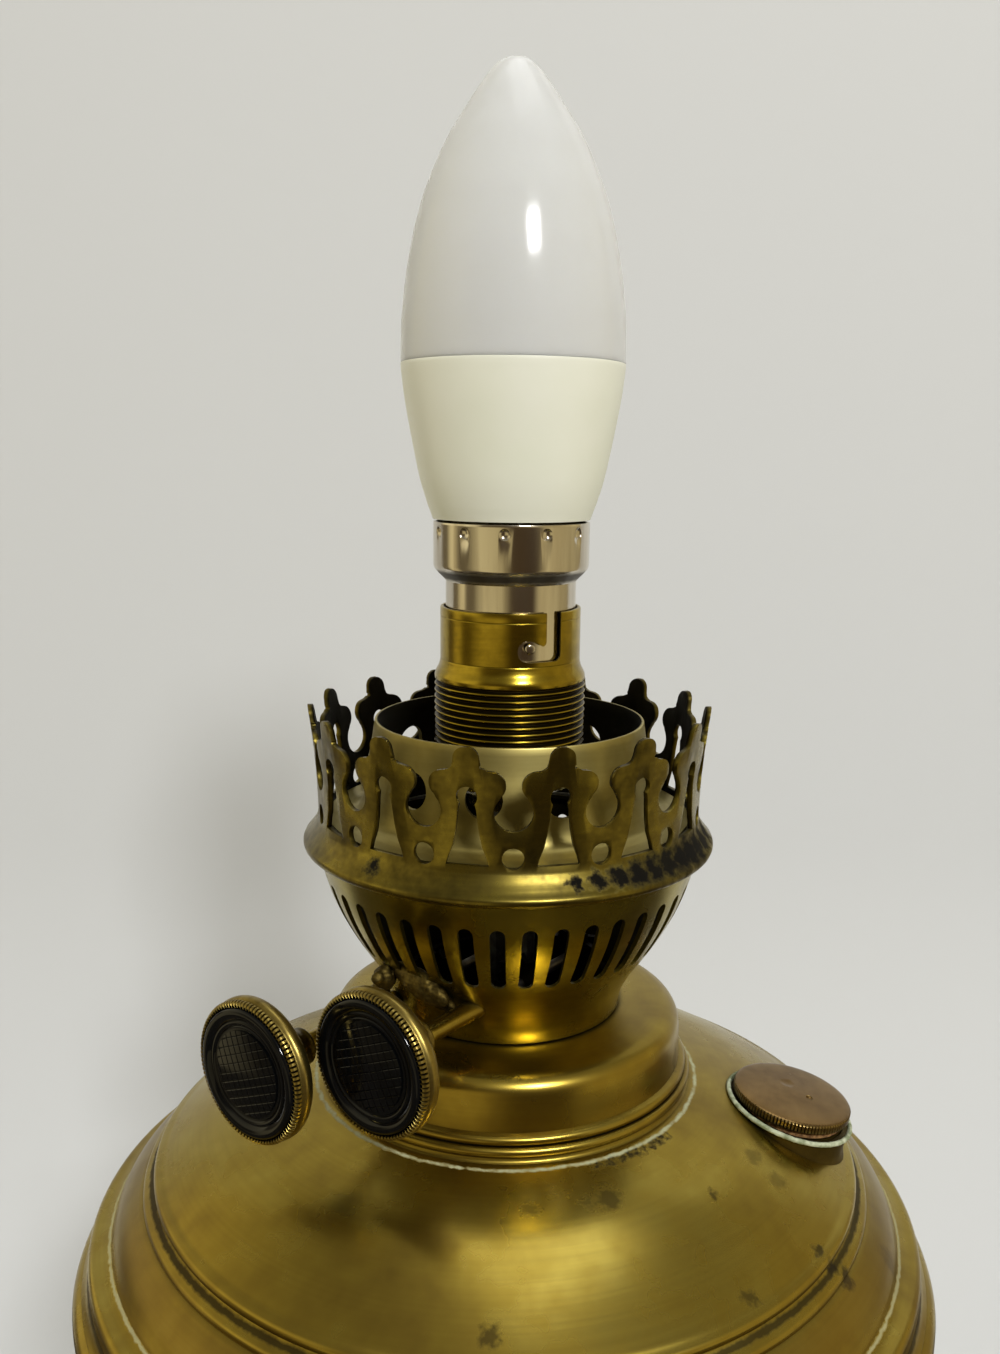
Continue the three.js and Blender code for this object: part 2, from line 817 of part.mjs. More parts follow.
// Flanks of a keyhole, as shares of its round top's radius and of its height
const keyholeShares = [[1, 0.5], [0.7, 0.8]];

function keyhole() {
  const rise = keyholeHeight - keyholeFootHeight;
  const flank = [
    [keyholeFootWidth / 2, keyholeFootHeight],
    ...scaled(keyholeShares, [0, keyholeFootHeight], keyholeRadius, rise),
  ];
  return [
    ...flank,
    ...arc(0, keyholeHeight, keyholeRadius, 0, 180, 3),
    ...flank.map(([x, z]) => [-x, z]).reverse(),
  ];
}

function gallery() {
  const edgeCentre = galleryEdgeRadius - galleryEdgeBead;
  const flareRise = bandHeight - galleryEdgeHeight;
  const inner = crownRadius - crownWall;
  const skin = turned([
    [crownTipRadius, crownTipHeight],
    [crownRadius, bandHeight],
    [(crownRadius + edgeCentre) / 2 + crownWall / 3, galleryEdgeHeight + flareRise / 2],
    ...arc(edgeCentre, galleryEdgeHeight, galleryEdgeBead, 60, -120, 3),
    [edgeCentre - galleryEdgeBead, galleryEdgeHeight + galleryEdgeBead / 2],
    [inner + crownWall / 3, bandHeight - crownWall],
    [inner, bandHeight + crownWall],
    [crownTipRadius - crownWall, crownTipHeight],
  ], 2 * fingers).rotateZ(radians(fingerPhase));
  const near = -crownTipRadius - overrun;
  const far = -crownRadius / 2;
  const between = fingerPhase + 180 / fingers;
  const hole = barAlongY(bandHoleRadius, near, far, hexFacets).translate(0, 0, bandHoleHeight);
  return cut(skin, [
    ...round(slab(fingerOpening(), near, far), fingers, between),
    ...round(slab(keyhole(), near, far), fingers, fingerPhase),
    ...round(hole, fingers, between),
  ]);
}

piece('gallery', gallery(), agedBrass, burner);

// Winders: a group turned so that its -Y side is the way the shafts point

const winders = new THREE.Group();
winders.rotation.z = radians(winderAngle);
burner.add(winders);

function winderWheel() {
  const tip = wheelRadius;
  const root = wheelRadius - wheelToothDepth;
  const outline = [];
  for (let i = 0; i < wheelTeeth; i += 1) {
    const angle = (2 * Math.PI * i) / wheelTeeth;
    const next = angle + Math.PI / wheelTeeth;
    outline.push([tip * Math.cos(angle), tip * Math.sin(angle)]);
    outline.push([root * Math.cos(next), root * Math.sin(next)]);
  }
  const disc = slab(outline, -wheelThickness / 2, wheelThickness / 2);
  return cut(disc, [barAlongY(shaftRadius + gap, -overrun, overrun, fineFacets)]);
}

// Knob about its own Y axis, its face at zero and its hub behind it
function knobShell() {
  const rimBack = -knobDepth;
  const hubBack = -knobHubLength;
  const bore = shaftRadius + gap;
  const seat = -knobInsertDepth - gap;
  const milled = (knobRadius - knobInsertRadius - gap) / 2;
  return turned([
    [bore, seat],
    [knobInsertRadius + gap, seat],
    [knobInsertRadius + gap, -gap],
    [knobInsertRadius + gap + milled, -gap],
    [knobRadius, -gap - 2 * milled],
    [knobRadius, rimBack + milled],
    [knobRadius - 2 * milled, rimBack],
    [knobHubRadius + knobWall, seat - 2 * knobWall],
    [knobHubRadius, seat - 3 * knobWall],
    [knobHubTipRadius, hubBack],
    [bore, hubBack],
  ], midFacets).rotateX(Math.PI / 2);
}

const insertDiscShare = 0.7; // the sunk disc in the insert's face

function knobInsert() {
  const dish = knobInsertDepth / 4;
  return turned([
    [0, -knobInsertDepth],
    [knobInsertRadius, -knobInsertDepth],
    [knobInsertRadius, -dish],
    [knobInsertRadius - 2 * dish, 0],
    [knobInsertRadius * insertDiscShare, -dish],
    [0, -dish],
  ], midFacets).rotateX(Math.PI / 2);
}

const bowlGrown = turned([
  [0, 0],
  ...shifted(bowlOutline, gap, 0),
  [0, bowlHeight],
], airSlots);

// Where a shaft at this side and height leaves the bowl
function bowlReach(side, height) {
  return Math.sqrt(radiusAt(bowlOutline, height) ** 2 - side ** 2);
}

function addWinder(label, side, height, knobReach) {
  const shaftEnd = knobReach - knobInsertDepth - 2 * gap;
  const hubTip = knobReach - knobHubLength;
  const sleeveStart = bowlReach(side, height) - gap;
  const carrier = new THREE.Group();
  carrier.position.set(side, 0, height);
  winders.add(carrier);
  const shaft = barAlongY(shaftRadius, -shaftEnd, shaftInnerReach, fineFacets);
  piece(`winder_shaft_${label}`, shaft, steel, carrier);
  const sleeve = cut(barAlongY(sleeveRadius, -hubTip + gap, -sleeveStart, fineFacets), [
    barAlongY(shaftRadius + gap, -hubTip - overrun, -sleeveStart + overrun, fineFacets),
    bowlGrown.clone().rotateZ(radians(-winderAngle)).translate(-side, 0, -height),
  ]);
  piece(`winder_sleeve_${label}`, sleeve, agedBrass, carrier);
  for (const [wheelName, reach] of [['outer', -wheelReach], ['inner', wheelReach]]) {
    const wheel = piece(`wick_wheel_${label}_${wheelName}`, winderWheel(), steel, carrier);
    wheel.position.y = reach;
  }
  const knob = piece(`knob_${label}`, knobShell(), agedBrass, carrier);
  knob.position.y = -knobReach;
  const insert = piece(`knob_insert_${label}`, knobInsert(), blackResin, carrier);
  insert.position.y = -knobReach;
}

const shaftSide = winderSpread / 2;
addWinder('front', shaftSide, frontShaftHeight, frontKnobReach);
addWinder('rear', -shaftSide, rearShaftHeight, rearKnobReach);

// Cast bracket that ties the two sleeves to the bowl
function winderBracket() {
  const eye = bracketEyeRadius;
  const shoulder = frontShaftHeight + 2 * eye;
  const outline = [
    ...arc(-shaftSide, rearShaftHeight, eye, 180, 300, 4),
    [0, frontShaftHeight - eye],
    [shaftSide - eye, frontShaftHeight],
    [shaftSide - eye, shoulder - eye],
    [shaftSide / 2 - eye, shoulder],
    [-shaftSide / 2, shoulder + eye / 3],
    [-shaftSide - eye / 2, shoulder - eye],
  ];
  const start = bowlReach(shaftSide, frontShaftHeight);
  const away = rearKnobReach;
  const block = slab(outline, -start - bracketDepth, -start + bracketDepth);
  return cut(block, [
    bowlGrown.clone().rotateZ(radians(-winderAngle)),
    barAlongY(sleeveRadius + gap, -away, 0, fineFacets).translate(-shaftSide, 0, rearShaftHeight),
    barAlongY(sleeveRadius + gap, -away, 0, fineFacets).translate(shaftSide, 0, frontShaftHeight),
  ]);
}

piece('winder_bracket', winderBracket(), agedBrass, winders);

// Strip on the burner base that carries the far ends of both shafts
function shaftBearing() {
  const eye = bracketEyeRadius;
  const half = bearingThickness / 2;
  const outline = [
    [-bearingHalfWidth, baseFloorTop + gap],
    [bearingHalfWidth, baseFloorTop + gap],
    [bearingHalfWidth, frontShaftHeight + eye],
    [-bearingHalfWidth, rearShaftHeight + eye],
  ];
  const strip = slab(outline, bearingReach - half, bearingReach + half);
  const hole = barAlongY(shaftRadius + gap, 0, bearingReach + overrun, fineFacets);
  return cut(strip, [
    hole.clone().translate(-shaftSide, 0, rearShaftHeight),
    hole.clone().translate(shaftSide, 0, frontShaftHeight),
  ]);
}

piece('shaft_bearing', shaftBearing(), steel, winders);

// Lampholder

const holderBore = bulbCapRadius + gap;
const holderRadius = holderBore + holderWall;
const holderFlareTop = holderRimHeight - holderTubeLength;
const holderFlareBottom = holderFlareTop - holderFlareLength;
const holderBottom = holderFlareBottom - holderThreads * holderThreadPitch;
const lockHeight = holderRimHeight - lockDepth;
const bulbContactHeight = lockHeight - bulbPinRise;

const pocketShare = 1.1; // half the locked pin's pocket, over half the slot

// Bayonet slot as across-and-up points, from the locked pin to the way out
function bayonetSlot() {
  const half = slotWidth / 2;
  const reach = holderRadius * Math.sin(radians(twistAngle));
  const pocketTop = lockHeight + half;
  const footLevel = lockHeight - twistPush - half;
  return slab([
    [-half, lockHeight + half / 3],
    [-half, footLevel + half / 3],
    [-half / 2, footLevel],
    [reach + half / 2, footLevel],
    [reach + half, footLevel + half / 2],
    [reach + half, holderRimHeight + overrun],
    [reach - half, holderRimHeight + overrun],
    [reach - half, lockHeight + half / 2],
    [reach - 2 * half, lockHeight + half / 3],
    [half * pocketShare, pocketTop - half / 8],
    [half / 2, pocketTop],
    [-half / 2, pocketTop],
  ], -holderThreadRadius - overrun, -holderBore / 2);
}

function holderShell() {
  const root = holderThreadRadius - holderThreadDepth;
  const thread = [];
  for (let i = 0; i < holderThreads; i += 1) {
    const top = holderFlareBottom - i * holderThreadPitch;
    thread.push([holderThreadRadius, top - holderThreadPitch / 4]);
    thread.push([root, top - (3 * holderThreadPitch) / 4]);
  }
  const skin = turned([
    [holderBore, holderRimHeight],
    [holderRadius, holderRimHeight],
    [holderRadius, holderFlareTop],
    [root, holderFlareBottom],
    ...thread,
    [root, holderBottom],
    [holderBore, holderBottom],
  ], midFacets);
  return cut(skin, round(bayonetSlot(), 2, lockAngle));
}

function holderBase() {
  const top = holderBottom - gap;
  const bottom = top - holderBaseHeight;
  const bore = nippleRadius + gap;
  return turned([
    [bore, bottom],
    [holderNeckRadius, bottom],
    [holderNeckRadius, bottom + holderBaseHeight / 3],
    [holderThreadRadius - holderWall, top - holderBaseHeight / 4],
    [holderThreadRadius, top],
    [holderBore - holderWall, top],
    [holderNeckRadius, bottom + holderBaseHeight / 2],
    [bore, bottom + holderBaseHeight / 2],
  ], midFacets);
}

const plungerBore = plungerRadius + gap;
const plungerTop = bulbContactHeight - gap;
const blockTopHeight = plungerTop - plungerProud;
const plungerFloor = blockTopHeight - plungerSunk;
const springBottom = plungerFloor - gap - springLength;
const blockBottom = springBottom - gap - blockFloor;

function contactBlock() {
  const body = turned([
    [0, blockBottom],
    [holderBore - gap, blockBottom],
    [holderBore - gap, blockTopHeight],
    [0, blockTopHeight],
  ], midFacets);
  const bore = turned([
    [0, springBottom - gap],
    [plungerBore, springBottom - gap],
    [plungerBore, blockTopHeight + overrun],
    [0, blockTopHeight + overrun],
  ], fineFacets);
  const half = plungerSpread / 2;
  return cut(body, [bore.clone().translate(half, 0, 0), bore.clone().translate(-half, 0, 0)]);
}

function plunger() {
  const nose = plungerRadius / 2;
  return turned([
    [0, plungerFloor],
    [plungerRadius, plungerFloor],
    [plungerRadius, plungerTop - nose],
    [plungerRadius - nose, plungerTop],
    [0, plungerTop],
  ], fineFacets);
}

function plungerSpring() {
  const top = springBottom + springLength;
  return ringBetween(plungerRadius - springWall, plungerRadius, springBottom, top, fineFacets);
}

piece('lampholder_shell', holderShell(), agedBrass, burner);
piece('lampholder_base', holderBase(), agedBrass, burner);

const contacts = new THREE.Group();
contacts.rotation.z = radians(lockAngle);
burner.add(contacts);
piece('contact_block', contactBlock(), porcelain, contacts);
for (const [label, side] of [['a', 1], ['b', -1]]) {
  const x = (side * plungerSpread) / 2;
  piece(`contact_plunger_${label}`, plunger(), nickel, contacts).position.x = x;
  piece(`plunger_spring_${label}`, plungerSpring(), steel, contacts).position.x = x;
}

// Nipple: hollow threaded tube from the burner base up into the lampholder
const nippleTop = holderBottom - gap - holderBaseHeight / 2;
const nippleNutHole = nippleRadius + gap;
const nippleBottom = -plugDepth - nippleNutThickness - 2 * gap;

piece('nipple', ringBetween(nippleBore, nippleRadius, nippleBottom, nippleTop, smallFacets), steel, burner);
piece(
  'nipple_nut_upper',
  hexNut(nippleNutRadius, nippleNutHole, baseFloorTop + gap, nippleNutThickness),
  steel,
  burner,
);
piece(
  'nipple_nut_lower',
  hexNut(nippleNutRadius, nippleNutHole, -plugDepth - gap - nippleNutThickness, nippleNutThickness),
  steel,
  burner,
);

// Bulb

const bulb = new THREE.Group();
bulb.rotation.z = radians(lockAngle);
burner.add(bulb);

const capBottom = bulbContactHeight + padThickness;
const skirtBottom = holderRimHeight + bulbCapProud + bulbSkirtSlope;
const bulbBodyHeight = skirtBottom + bulbSkirtLength;
const bulbSeamHeight = bulbBodyHeight + bulbBodyLength;
const bulbTipHeight = bulbSeamHeight + bulbDiffuserLength;

function bulbCap() {
  const shoulderZ = skirtBottom - bulbSkirtSlope;
  const inside = bulbCapRadius - bulbCapWall;
  const skirtTop = bulbBodyHeight - gap;
  const skin = turned([
    [bulbCapRadius, capBottom + bulbCapWall],
    [bulbCapRadius, shoulderZ],
    [bulbSkirtRadius, skirtBottom],
    [bulbSkirtRadius, skirtTop],
    [bulbSkirtRadius - bulbCapWall, skirtTop],
    [bulbSkirtRadius - bulbCapWall, skirtBottom + bulbCapWall],
    [inside, shoulderZ + bulbCapWall],
    [inside, capBottom + bulbCapWall],
  ], midFacets);
  const hole = barAlongY(pinRadius + gap, -bulbCapRadius - overrun, bulbCapRadius + overrun, fineFacets);
  return cut(skin, [hole.translate(0, 0, lockHeight)]);
}

function bulbPin() {
  const start = bulbCapRadius - bulbCapWall - pinRadius;
  return barAlongY(pinRadius, -pinReach, -start, fineFacets).translate(0, 0, lockHeight);
}

function bulbInsulator() {
  const radius = bulbCapRadius - bulbCapWall - gap;
  const top = capBottom + 4 * bulbCapWall;
  return turned([
    [0, capBottom],
    [radius - bulbCapWall, capBottom],
    [radius, capBottom + 2 * bulbCapWall],
    [radius, top],
    [0, top],
  ], midFacets);
}

function bulbPad() {
  const top = capBottom - gap;
  const bottom = capBottom - padThickness;
  return turned([[0, bottom], [padRadius, bottom], [padRadius, top], [0, top]], fineFacets);
}

const bodyShares = [[0, 0], [0.25, 0.13], [0.5, 0.33], [0.76, 0.6], [0.92, 0.84], [1, 1]];
const seamInner = bulbRadius - bulbWall;

function bulbBody() {
  const width = bulbRadius - bulbSkirtRadius;
  const outer = scaled(bodyShares, [bulbSkirtRadius, bulbBodyHeight], width,
    bulbSeamHeight - gap - bulbBodyHeight);
  return turned([...outer, ...shifted(outer, -bulbWall, 0).reverse()], midFacets);
}

const diffuserShares = [
  [1, 0], [0.985, 0.18], [0.93, 0.36], [0.8, 0.56], [0.61, 0.76], [0.4, 0.91],
];
const bulbTipShares = [[0.8, -0.25], [0, 0]];

function bulbDiffuser() {
  const rise = bulbTipHeight - bulbSeamHeight;
  const outer = scaled(diffuserShares, [0, bulbSeamHeight], bulbRadius, rise - bulbTipRadius / 2);
  const tip = scaled(bulbTipShares, [0, bulbTipHeight], bulbTipRadius, bulbTipRadius);
  const inner = scaled(diffuserShares, [0, bulbSeamHeight], seamInner, rise - bulbTipRadius);
  return turned([...outer, ...tip, [0, bulbTipHeight - 2 * bulbWall], ...inner.reverse()], midFacets);
}

const boardTop = bulbSeamHeight - bulbWall;

function ledBoard() {
  const radius = seamInner - bulbWall;
  return turned([
    [0, boardTop - boardThickness],
    [radius, boardTop - boardThickness],
    [radius, boardTop],
    [0, boardTop],
  ], midFacets);
}

function driverBoard() {
  const board = new THREE.BoxGeometry(driverWidth, boardThickness, driverHeight);
  const top = boardTop - boardThickness - gap;
  return closedSkin(board).translate(0, 0, top - driverHeight / 2);
}

piece('bulb_cap', bulbCap(), nickel, bulb);
piece('bulb_pin_a', bulbPin(), nickel, bulb);
piece('bulb_pin_b', bulbPin().rotateZ(Math.PI), nickel, bulb);
piece('bulb_insulator', bulbInsulator(), blackResin, bulb);
piece('bulb_pad_a', bulbPad(), nickel, bulb).position.x = plungerSpread / 2;
piece('bulb_pad_b', bulbPad(), nickel, bulb).position.x = -plungerSpread / 2;
piece('bulb_body', bulbBody(), creamPlastic, bulb);
piece('bulb_diffuser', bulbDiffuser(), milkPlastic, bulb);
piece('led_board', ledBoard(), boardGreen, bulb);
piece('driver_board', driverBoard(), boardGreen, bulb);

export default lamp;
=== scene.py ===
# %% [markdown]
# # An old oil lamp, now electric
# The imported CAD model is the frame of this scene: every piece sits where the CAD has it,
# in metres. Its box is kept, so that the dressed lamp can be measured against it.

# %% Load the frame
from math import atan2, cos, degrees, hypot, pi, radians, sin, sqrt, tan

import bpy
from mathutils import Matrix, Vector


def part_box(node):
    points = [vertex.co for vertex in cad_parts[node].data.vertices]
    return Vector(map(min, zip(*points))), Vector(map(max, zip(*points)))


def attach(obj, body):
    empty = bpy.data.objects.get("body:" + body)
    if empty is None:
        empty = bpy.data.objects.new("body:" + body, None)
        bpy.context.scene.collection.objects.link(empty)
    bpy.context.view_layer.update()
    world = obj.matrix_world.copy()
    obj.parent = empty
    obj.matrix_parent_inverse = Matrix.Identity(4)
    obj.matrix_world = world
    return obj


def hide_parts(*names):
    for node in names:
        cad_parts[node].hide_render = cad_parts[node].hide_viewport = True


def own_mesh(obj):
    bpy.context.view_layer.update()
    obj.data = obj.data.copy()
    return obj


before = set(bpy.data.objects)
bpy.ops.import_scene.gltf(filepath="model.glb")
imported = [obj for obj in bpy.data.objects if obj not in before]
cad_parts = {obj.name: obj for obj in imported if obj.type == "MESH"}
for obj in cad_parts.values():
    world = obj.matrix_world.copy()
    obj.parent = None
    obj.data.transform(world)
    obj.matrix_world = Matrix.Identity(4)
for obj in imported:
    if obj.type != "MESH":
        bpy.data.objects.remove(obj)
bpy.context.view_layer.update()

MM = 0.001


def mm(*lengths):
    """Lengths in millimetres, in the metres of the scene."""
    return tuple(length * MM for length in lengths)


# %% [markdown]
# All heights hang from a few levels of the frame. Burner pieces are written from the tips
# of the crown, as they were measured, and the pieces of the stand from the table up.

# %% Levels read from the frame
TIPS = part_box("gallery")[1][2] / MM
FONT_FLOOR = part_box("font_lower")[0][2] / MM
KNOP_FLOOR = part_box("stem_knop")[0][2] / MM
FOOT_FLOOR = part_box("foot_shell")[0][2] / MM
print("levels in mm", [round(v, 2) for v in (TIPS, FONT_FLOOR, KNOP_FLOOR, FOOT_FLOOR)])

# %% [markdown]
# ## Camera
# The photograph was taken from close by and looks down by ten degrees, so the rims show as
# ellipses. The lamp in it leans a little; here it stands straight and the camera rolls.

# %% Camera
CAMERA_REACH = 203.3
CAMERA_ABOVE_TIPS = 41.1
FOCAL_LENGTH = 32.1
AIM_LEFT = radians(0.47)
AIM_DOWN = radians(10.28)
ROLL = radians(0.55)
lens = bpy.data.cameras.new("camera")
lens.lens = FOCAL_LENGTH
lens.clip_start = 10 * MM
camera = bpy.data.objects.new("camera", lens)
bpy.context.scene.collection.objects.link(camera)
camera.location = mm(0, -CAMERA_REACH, TIPS + CAMERA_ABOVE_TIPS)
look = Vector((-sin(AIM_LEFT), cos(AIM_LEFT), -tan(AIM_DOWN)))
camera.rotation_euler = look.to_track_quat("-Z", "Y").to_euler()
camera.rotation_euler.rotate_axis("Z", ROLL)
bpy.context.scene.camera = camera

# %% [markdown]
# ## Working by hand, in code
# Most of this lamp was spun on a lathe. Its pieces are made in the same way: one point,
# extruded along the outline of the section, then spun round the axis.

# %% Selecting and finishing
SAME_POINT = 0.002 * MM


def clear_selection():
    if bpy.context.object and bpy.context.object.mode != "OBJECT":
        bpy.ops.object.mode_set(mode="OBJECT")
    bpy.ops.object.select_all(action="DESELECT")


def take(piece):
    clear_selection()
    piece.select_set(True)
    bpy.context.view_layer.objects.active = piece


def settle(piece, angle=38):
    """Puts the piece's place into its mesh and smooths what isn't an edge."""
    take(piece)
    bpy.ops.object.transform_apply(location=True, rotation=True, scale=True)
    bpy.ops.object.shade_smooth_by_angle(angle=radians(angle))
    return piece


def select_all():
    bpy.ops.mesh.select_all(action="SELECT")


def open_mesh(piece):
    """Goes into edit mode with the whole mesh selected."""
    take(piece)
    bpy.ops.object.mode_set(mode="EDIT")
    select_all()


def shift(x, y, z, **how):
    bpy.ops.transform.translate(value=mm(x, y, z), **how)


def extrude(x, y, z):
    bpy.ops.mesh.extrude_region_move(TRANSFORM_OT_translate={"value": mm(x, y, z)})


def close_mesh(merge=False):
    """Merges points that lie together, if asked to, turns faces outward and leaves edit mode."""
    select_all()
    if merge:
        bpy.ops.mesh.remove_doubles(threshold=SAME_POINT)
    bpy.ops.mesh.normals_make_consistent(inside=False)
    bpy.ops.object.mode_set(mode="OBJECT")


def pick_points(piece, wanted):
    """Goes into edit mode with only the points that are wanted, by their x, y and z in millimetres."""
    open_mesh(piece)
    bpy.ops.mesh.select_mode(type="VERT")
    bpy.ops.mesh.select_all(action="DESELECT")
    bpy.ops.object.mode_set(mode="OBJECT")
    for point in piece.data.vertices:
        point.select = wanted(*(point.co / MM))
    bpy.ops.object.mode_set(mode="EDIT")


def alter(piece, kind, **settings):
    """Adds a modifier with these settings and applies it."""
    take(piece)
    change = piece.modifiers.new(kind.lower(), kind)
    for name, value in settings.items():
        setattr(change, name, value)
    bpy.ops.object.modifier_apply(modifier=change.name)
    return piece


# %% Outlines
def arc(centre_r, centre_z, radius, start, end, steps=6):
    """Points of an arc, in degrees from the outward side."""
    angles = [radians(start + (end - start) * i / steps) for i in range(steps + 1)]
    return [(centre_r + radius * cos(a), centre_z + radius * sin(a)) for a in angles]


def flowing(points, steps=4):
    """A smooth curve through points, as a bent spline would lie."""
    held = [points[0], *points, points[-1]]
    curve = []
    for a, b, c, d in zip(held, held[1:], held[2:], held[3:]):
        for i in range(steps):
            t = i / steps
            curve.append(tuple(
                0.5 * (2 * q + (r - p) * t + (2 * p - 5 * q + 4 * r - s) * t * t
                       + (3 * q - p - 3 * r + s) * t ** 3)
                for p, q, r, s in zip(a, b, c, d)
            ))
    return curve + [points[-1]]


def lifted(points, level):
    return [(r, z + level) for r, z in points]


# %% From an outline to a turned piece
def named(name):
    """The active object, with this name on it and its mesh."""
    piece = bpy.context.object
    piece.name = piece.data.name = name
    return piece


def trace(name, points):
    """Starts from one point and extrudes it along the outline, in millimetres."""
    clear_selection()
    bpy.ops.mesh.primitive_plane_add(size=MM)
    piece = named(name)
    open_mesh(piece)
    bpy.ops.mesh.merge(type="CENTER")
    x, z = points[0]
    shift(x, 0, z)
    for (x0, z0), (x1, z1) in zip(points, points[1:]):
        extrude(x1 - x0, 0, z1 - z0)
    return piece


def spun(name, points, steps=128, angle=38):
    """A turned piece. Its outline comes back to its first point, unless both ends are on the axis."""
    closed = points[0][0] or points[-1][0]
    piece = trace(name, points + [points[0]] if closed else points)
    select_all()
    bpy.ops.mesh.spin(steps=steps, angle=2 * pi, center=(0, 0, 0), axis=(0, 0, 1))
    close_mesh(merge=True)
    return settle(piece, angle)


# %% Cutting tools
def prism(name, points, near, far):
    """A straight cutter: an outline in x and z, filled and drawn out along y."""
    piece = trace(name, points + [points[0]])
    select_all()
    bpy.ops.mesh.remove_doubles(threshold=SAME_POINT)
    bpy.ops.mesh.edge_face_add()
    shift(0, near, 0)
    extrude(0, far - near, 0)
    close_mesh()
    return piece


def drill(name, radius, near, far, level, sides=24):
    ring = arc(0, level, radius, 0, 360 * (sides - 1) / sides, sides - 1)
    return prism(name, ring, near, far)


def ball(radius, place):
    """A ball at a place in millimetres."""
    clear_selection()
    bpy.ops.mesh.primitive_ico_sphere_add(subdivisions=4, radius=radius * MM, location=mm(*place))
    return bpy.context.object


def ring_of(tool, count, phase):
    """The same tool, set round the axis in equal steps."""
    take(tool)
    tool.rotation_euler.z = radians(phase)
    bpy.ops.object.transform_apply(rotation=True)
    open_mesh(tool)
    bpy.ops.mesh.spin(steps=count - 1, angle=2 * pi * (count - 1) / count, dupli=True,
                      center=(0, 0, 0), axis=(0, 0, 1))
    close_mesh()
    return tool


def cut(piece, tools, operation="DIFFERENCE"):
    for tool in tools:
        alter(piece, "BOOLEAN", operation=operation, solver="EXACT", object=tool)
        bpy.data.objects.remove(tool)
    return piece


def eased(piece, width, segments=2):
    """Breaks the sharp edges, as tumbling and years of polish do."""
    return alter(piece, "BEVEL", width=width * MM, segments=segments, limit_method="ANGLE",
                 angle_limit=radians(50))


# %% Bearings
def at_bearing(bearing, out, side=0.0):
    """x and y of a place this far out, and to one side. Bearings are in degrees from the camera
    side towards the right."""
    a = radians(bearing)
    return (side * cos(a) + out * sin(a), side * sin(a) - out * cos(a))


# %% [markdown]
# ## Materials
# Each finish starts from what the real one is. Colours are sRGB hex values, and patterns
# are drawn in millimetres on Object coordinates, so a pattern runs on from one piece to
# the next and stays on a piece that turns.

# %% Colours and nodes
def colour(tone):
    """The renderer's colour for an sRGB hex value, or for a plain grey value."""
    def linear(value):
        return value / 12.92 if value <= 0.04045 else ((value + 0.055) / 1.055) ** 2.4
    if not isinstance(tone, str):
        return (tone, tone, tone, 1.0)
    return tuple(linear(int(tone[i:i + 2], 16) / 255) for i in (1, 3, 5)) + (1.0,)


def feed(tree, node, inputs):
    """Gives a node its inputs, by name or number: each is a value, a node or one of its outputs."""
    for name, value in inputs.items():
        if isinstance(value, bpy.types.Node):
            value = next(socket for socket in value.outputs if socket.enabled)
        if isinstance(value, bpy.types.NodeSocket):
            tree.links.new(value, node.inputs[name])
        else:
            node.inputs[name].default_value = value
    return node


def add(tree, kind, inputs=None, stops=(), **settings):
    """Adds a node with its settings and links. A ramp's stops are (place, hex colour or grey)."""
    node = tree.nodes.new("ShaderNode" + kind)
    for name, value in settings.items():
        setattr(node, name, value)
    for number, (place, tone) in enumerate(stops):
        line = node.color_ramp.elements
        element = line[number] if number < 2 else line.new(place)
        element.position = place
        element.color = colour(tone)
    return feed(tree, node, inputs or {})


def spaced(tree, across, stretch=(1, 1, 1)):
    """Object coordinates in which one unit is this many millimetres, longer where stretched."""
    place = add(tree, "TexCoord").outputs["Object"]
    scale = tuple(1 / (across * MM * s) for s in stretch)
    return add(tree, "Mapping", {"Vector": place, "Scale": scale})


def in_section(tree, place):
    """The section plane, as distance from the axis and height, and the way out from the axis."""
    flat = add(tree, "VectorMath", {0: place, 1: (1, 1, 0)}, operation="MULTIPLY")
    out = add(tree, "VectorMath", {0: flat}, operation="LENGTH").outputs["Value"]
    height = add(tree, "SeparateXYZ", {"Vector": place}).outputs["Z"]
    outward = add(tree, "VectorMath", {0: flat}, operation="NORMALIZE")
    return add(tree, "CombineXYZ", {"X": out, "Y": height}), outward


def turned_marks(tree, across):
    """Coordinates for the marks of turning: one unit is this many millimetres of the section,
    and they change slowly round the axis."""
    section, outward = in_section(tree, add(tree, "TexCoord").outputs["Object"])
    section = add(tree, "VectorMath", {0: section, "Scale": 1 / (across * MM)}, operation="SCALE")
    outward = add(tree, "VectorMath", {0: outward, "Scale": 2.5}, operation="SCALE")
    return add(tree, "VectorMath", {0: section, 1: outward}, operation="ADD")


def new_finish(name, **fixed):
    """A new material and its main shader, with the values that are the same all over."""
    made = bpy.data.materials.new(name)
    made.use_nodes = True
    shader = made.node_tree.nodes["Principled BSDF"]
    for key, value in fixed.items():
        shader.inputs[key.replace("_", " ").title().replace("Ior", "IOR")].default_value = value
    return made, made.node_tree, shader


def coat(made, name, mask, tone):
    """Lays a tone over one input of a finish, where the mask is 1."""
    tree = made.node_tree
    shader = tree.nodes["Principled BSDF"]
    under = shader.inputs[name].links[0].from_socket
    feed(tree, shader, {name: add(tree, "Mix", {0: mask, 6: under, 7: colour(tone)}, data_type="RGBA")})


# %% [markdown]
# ### Plain finishes
# Most small pieces need the same few things: two close tones in soft blotches of a real
# size, a roughness that follows them, and a fine grain in the surface.

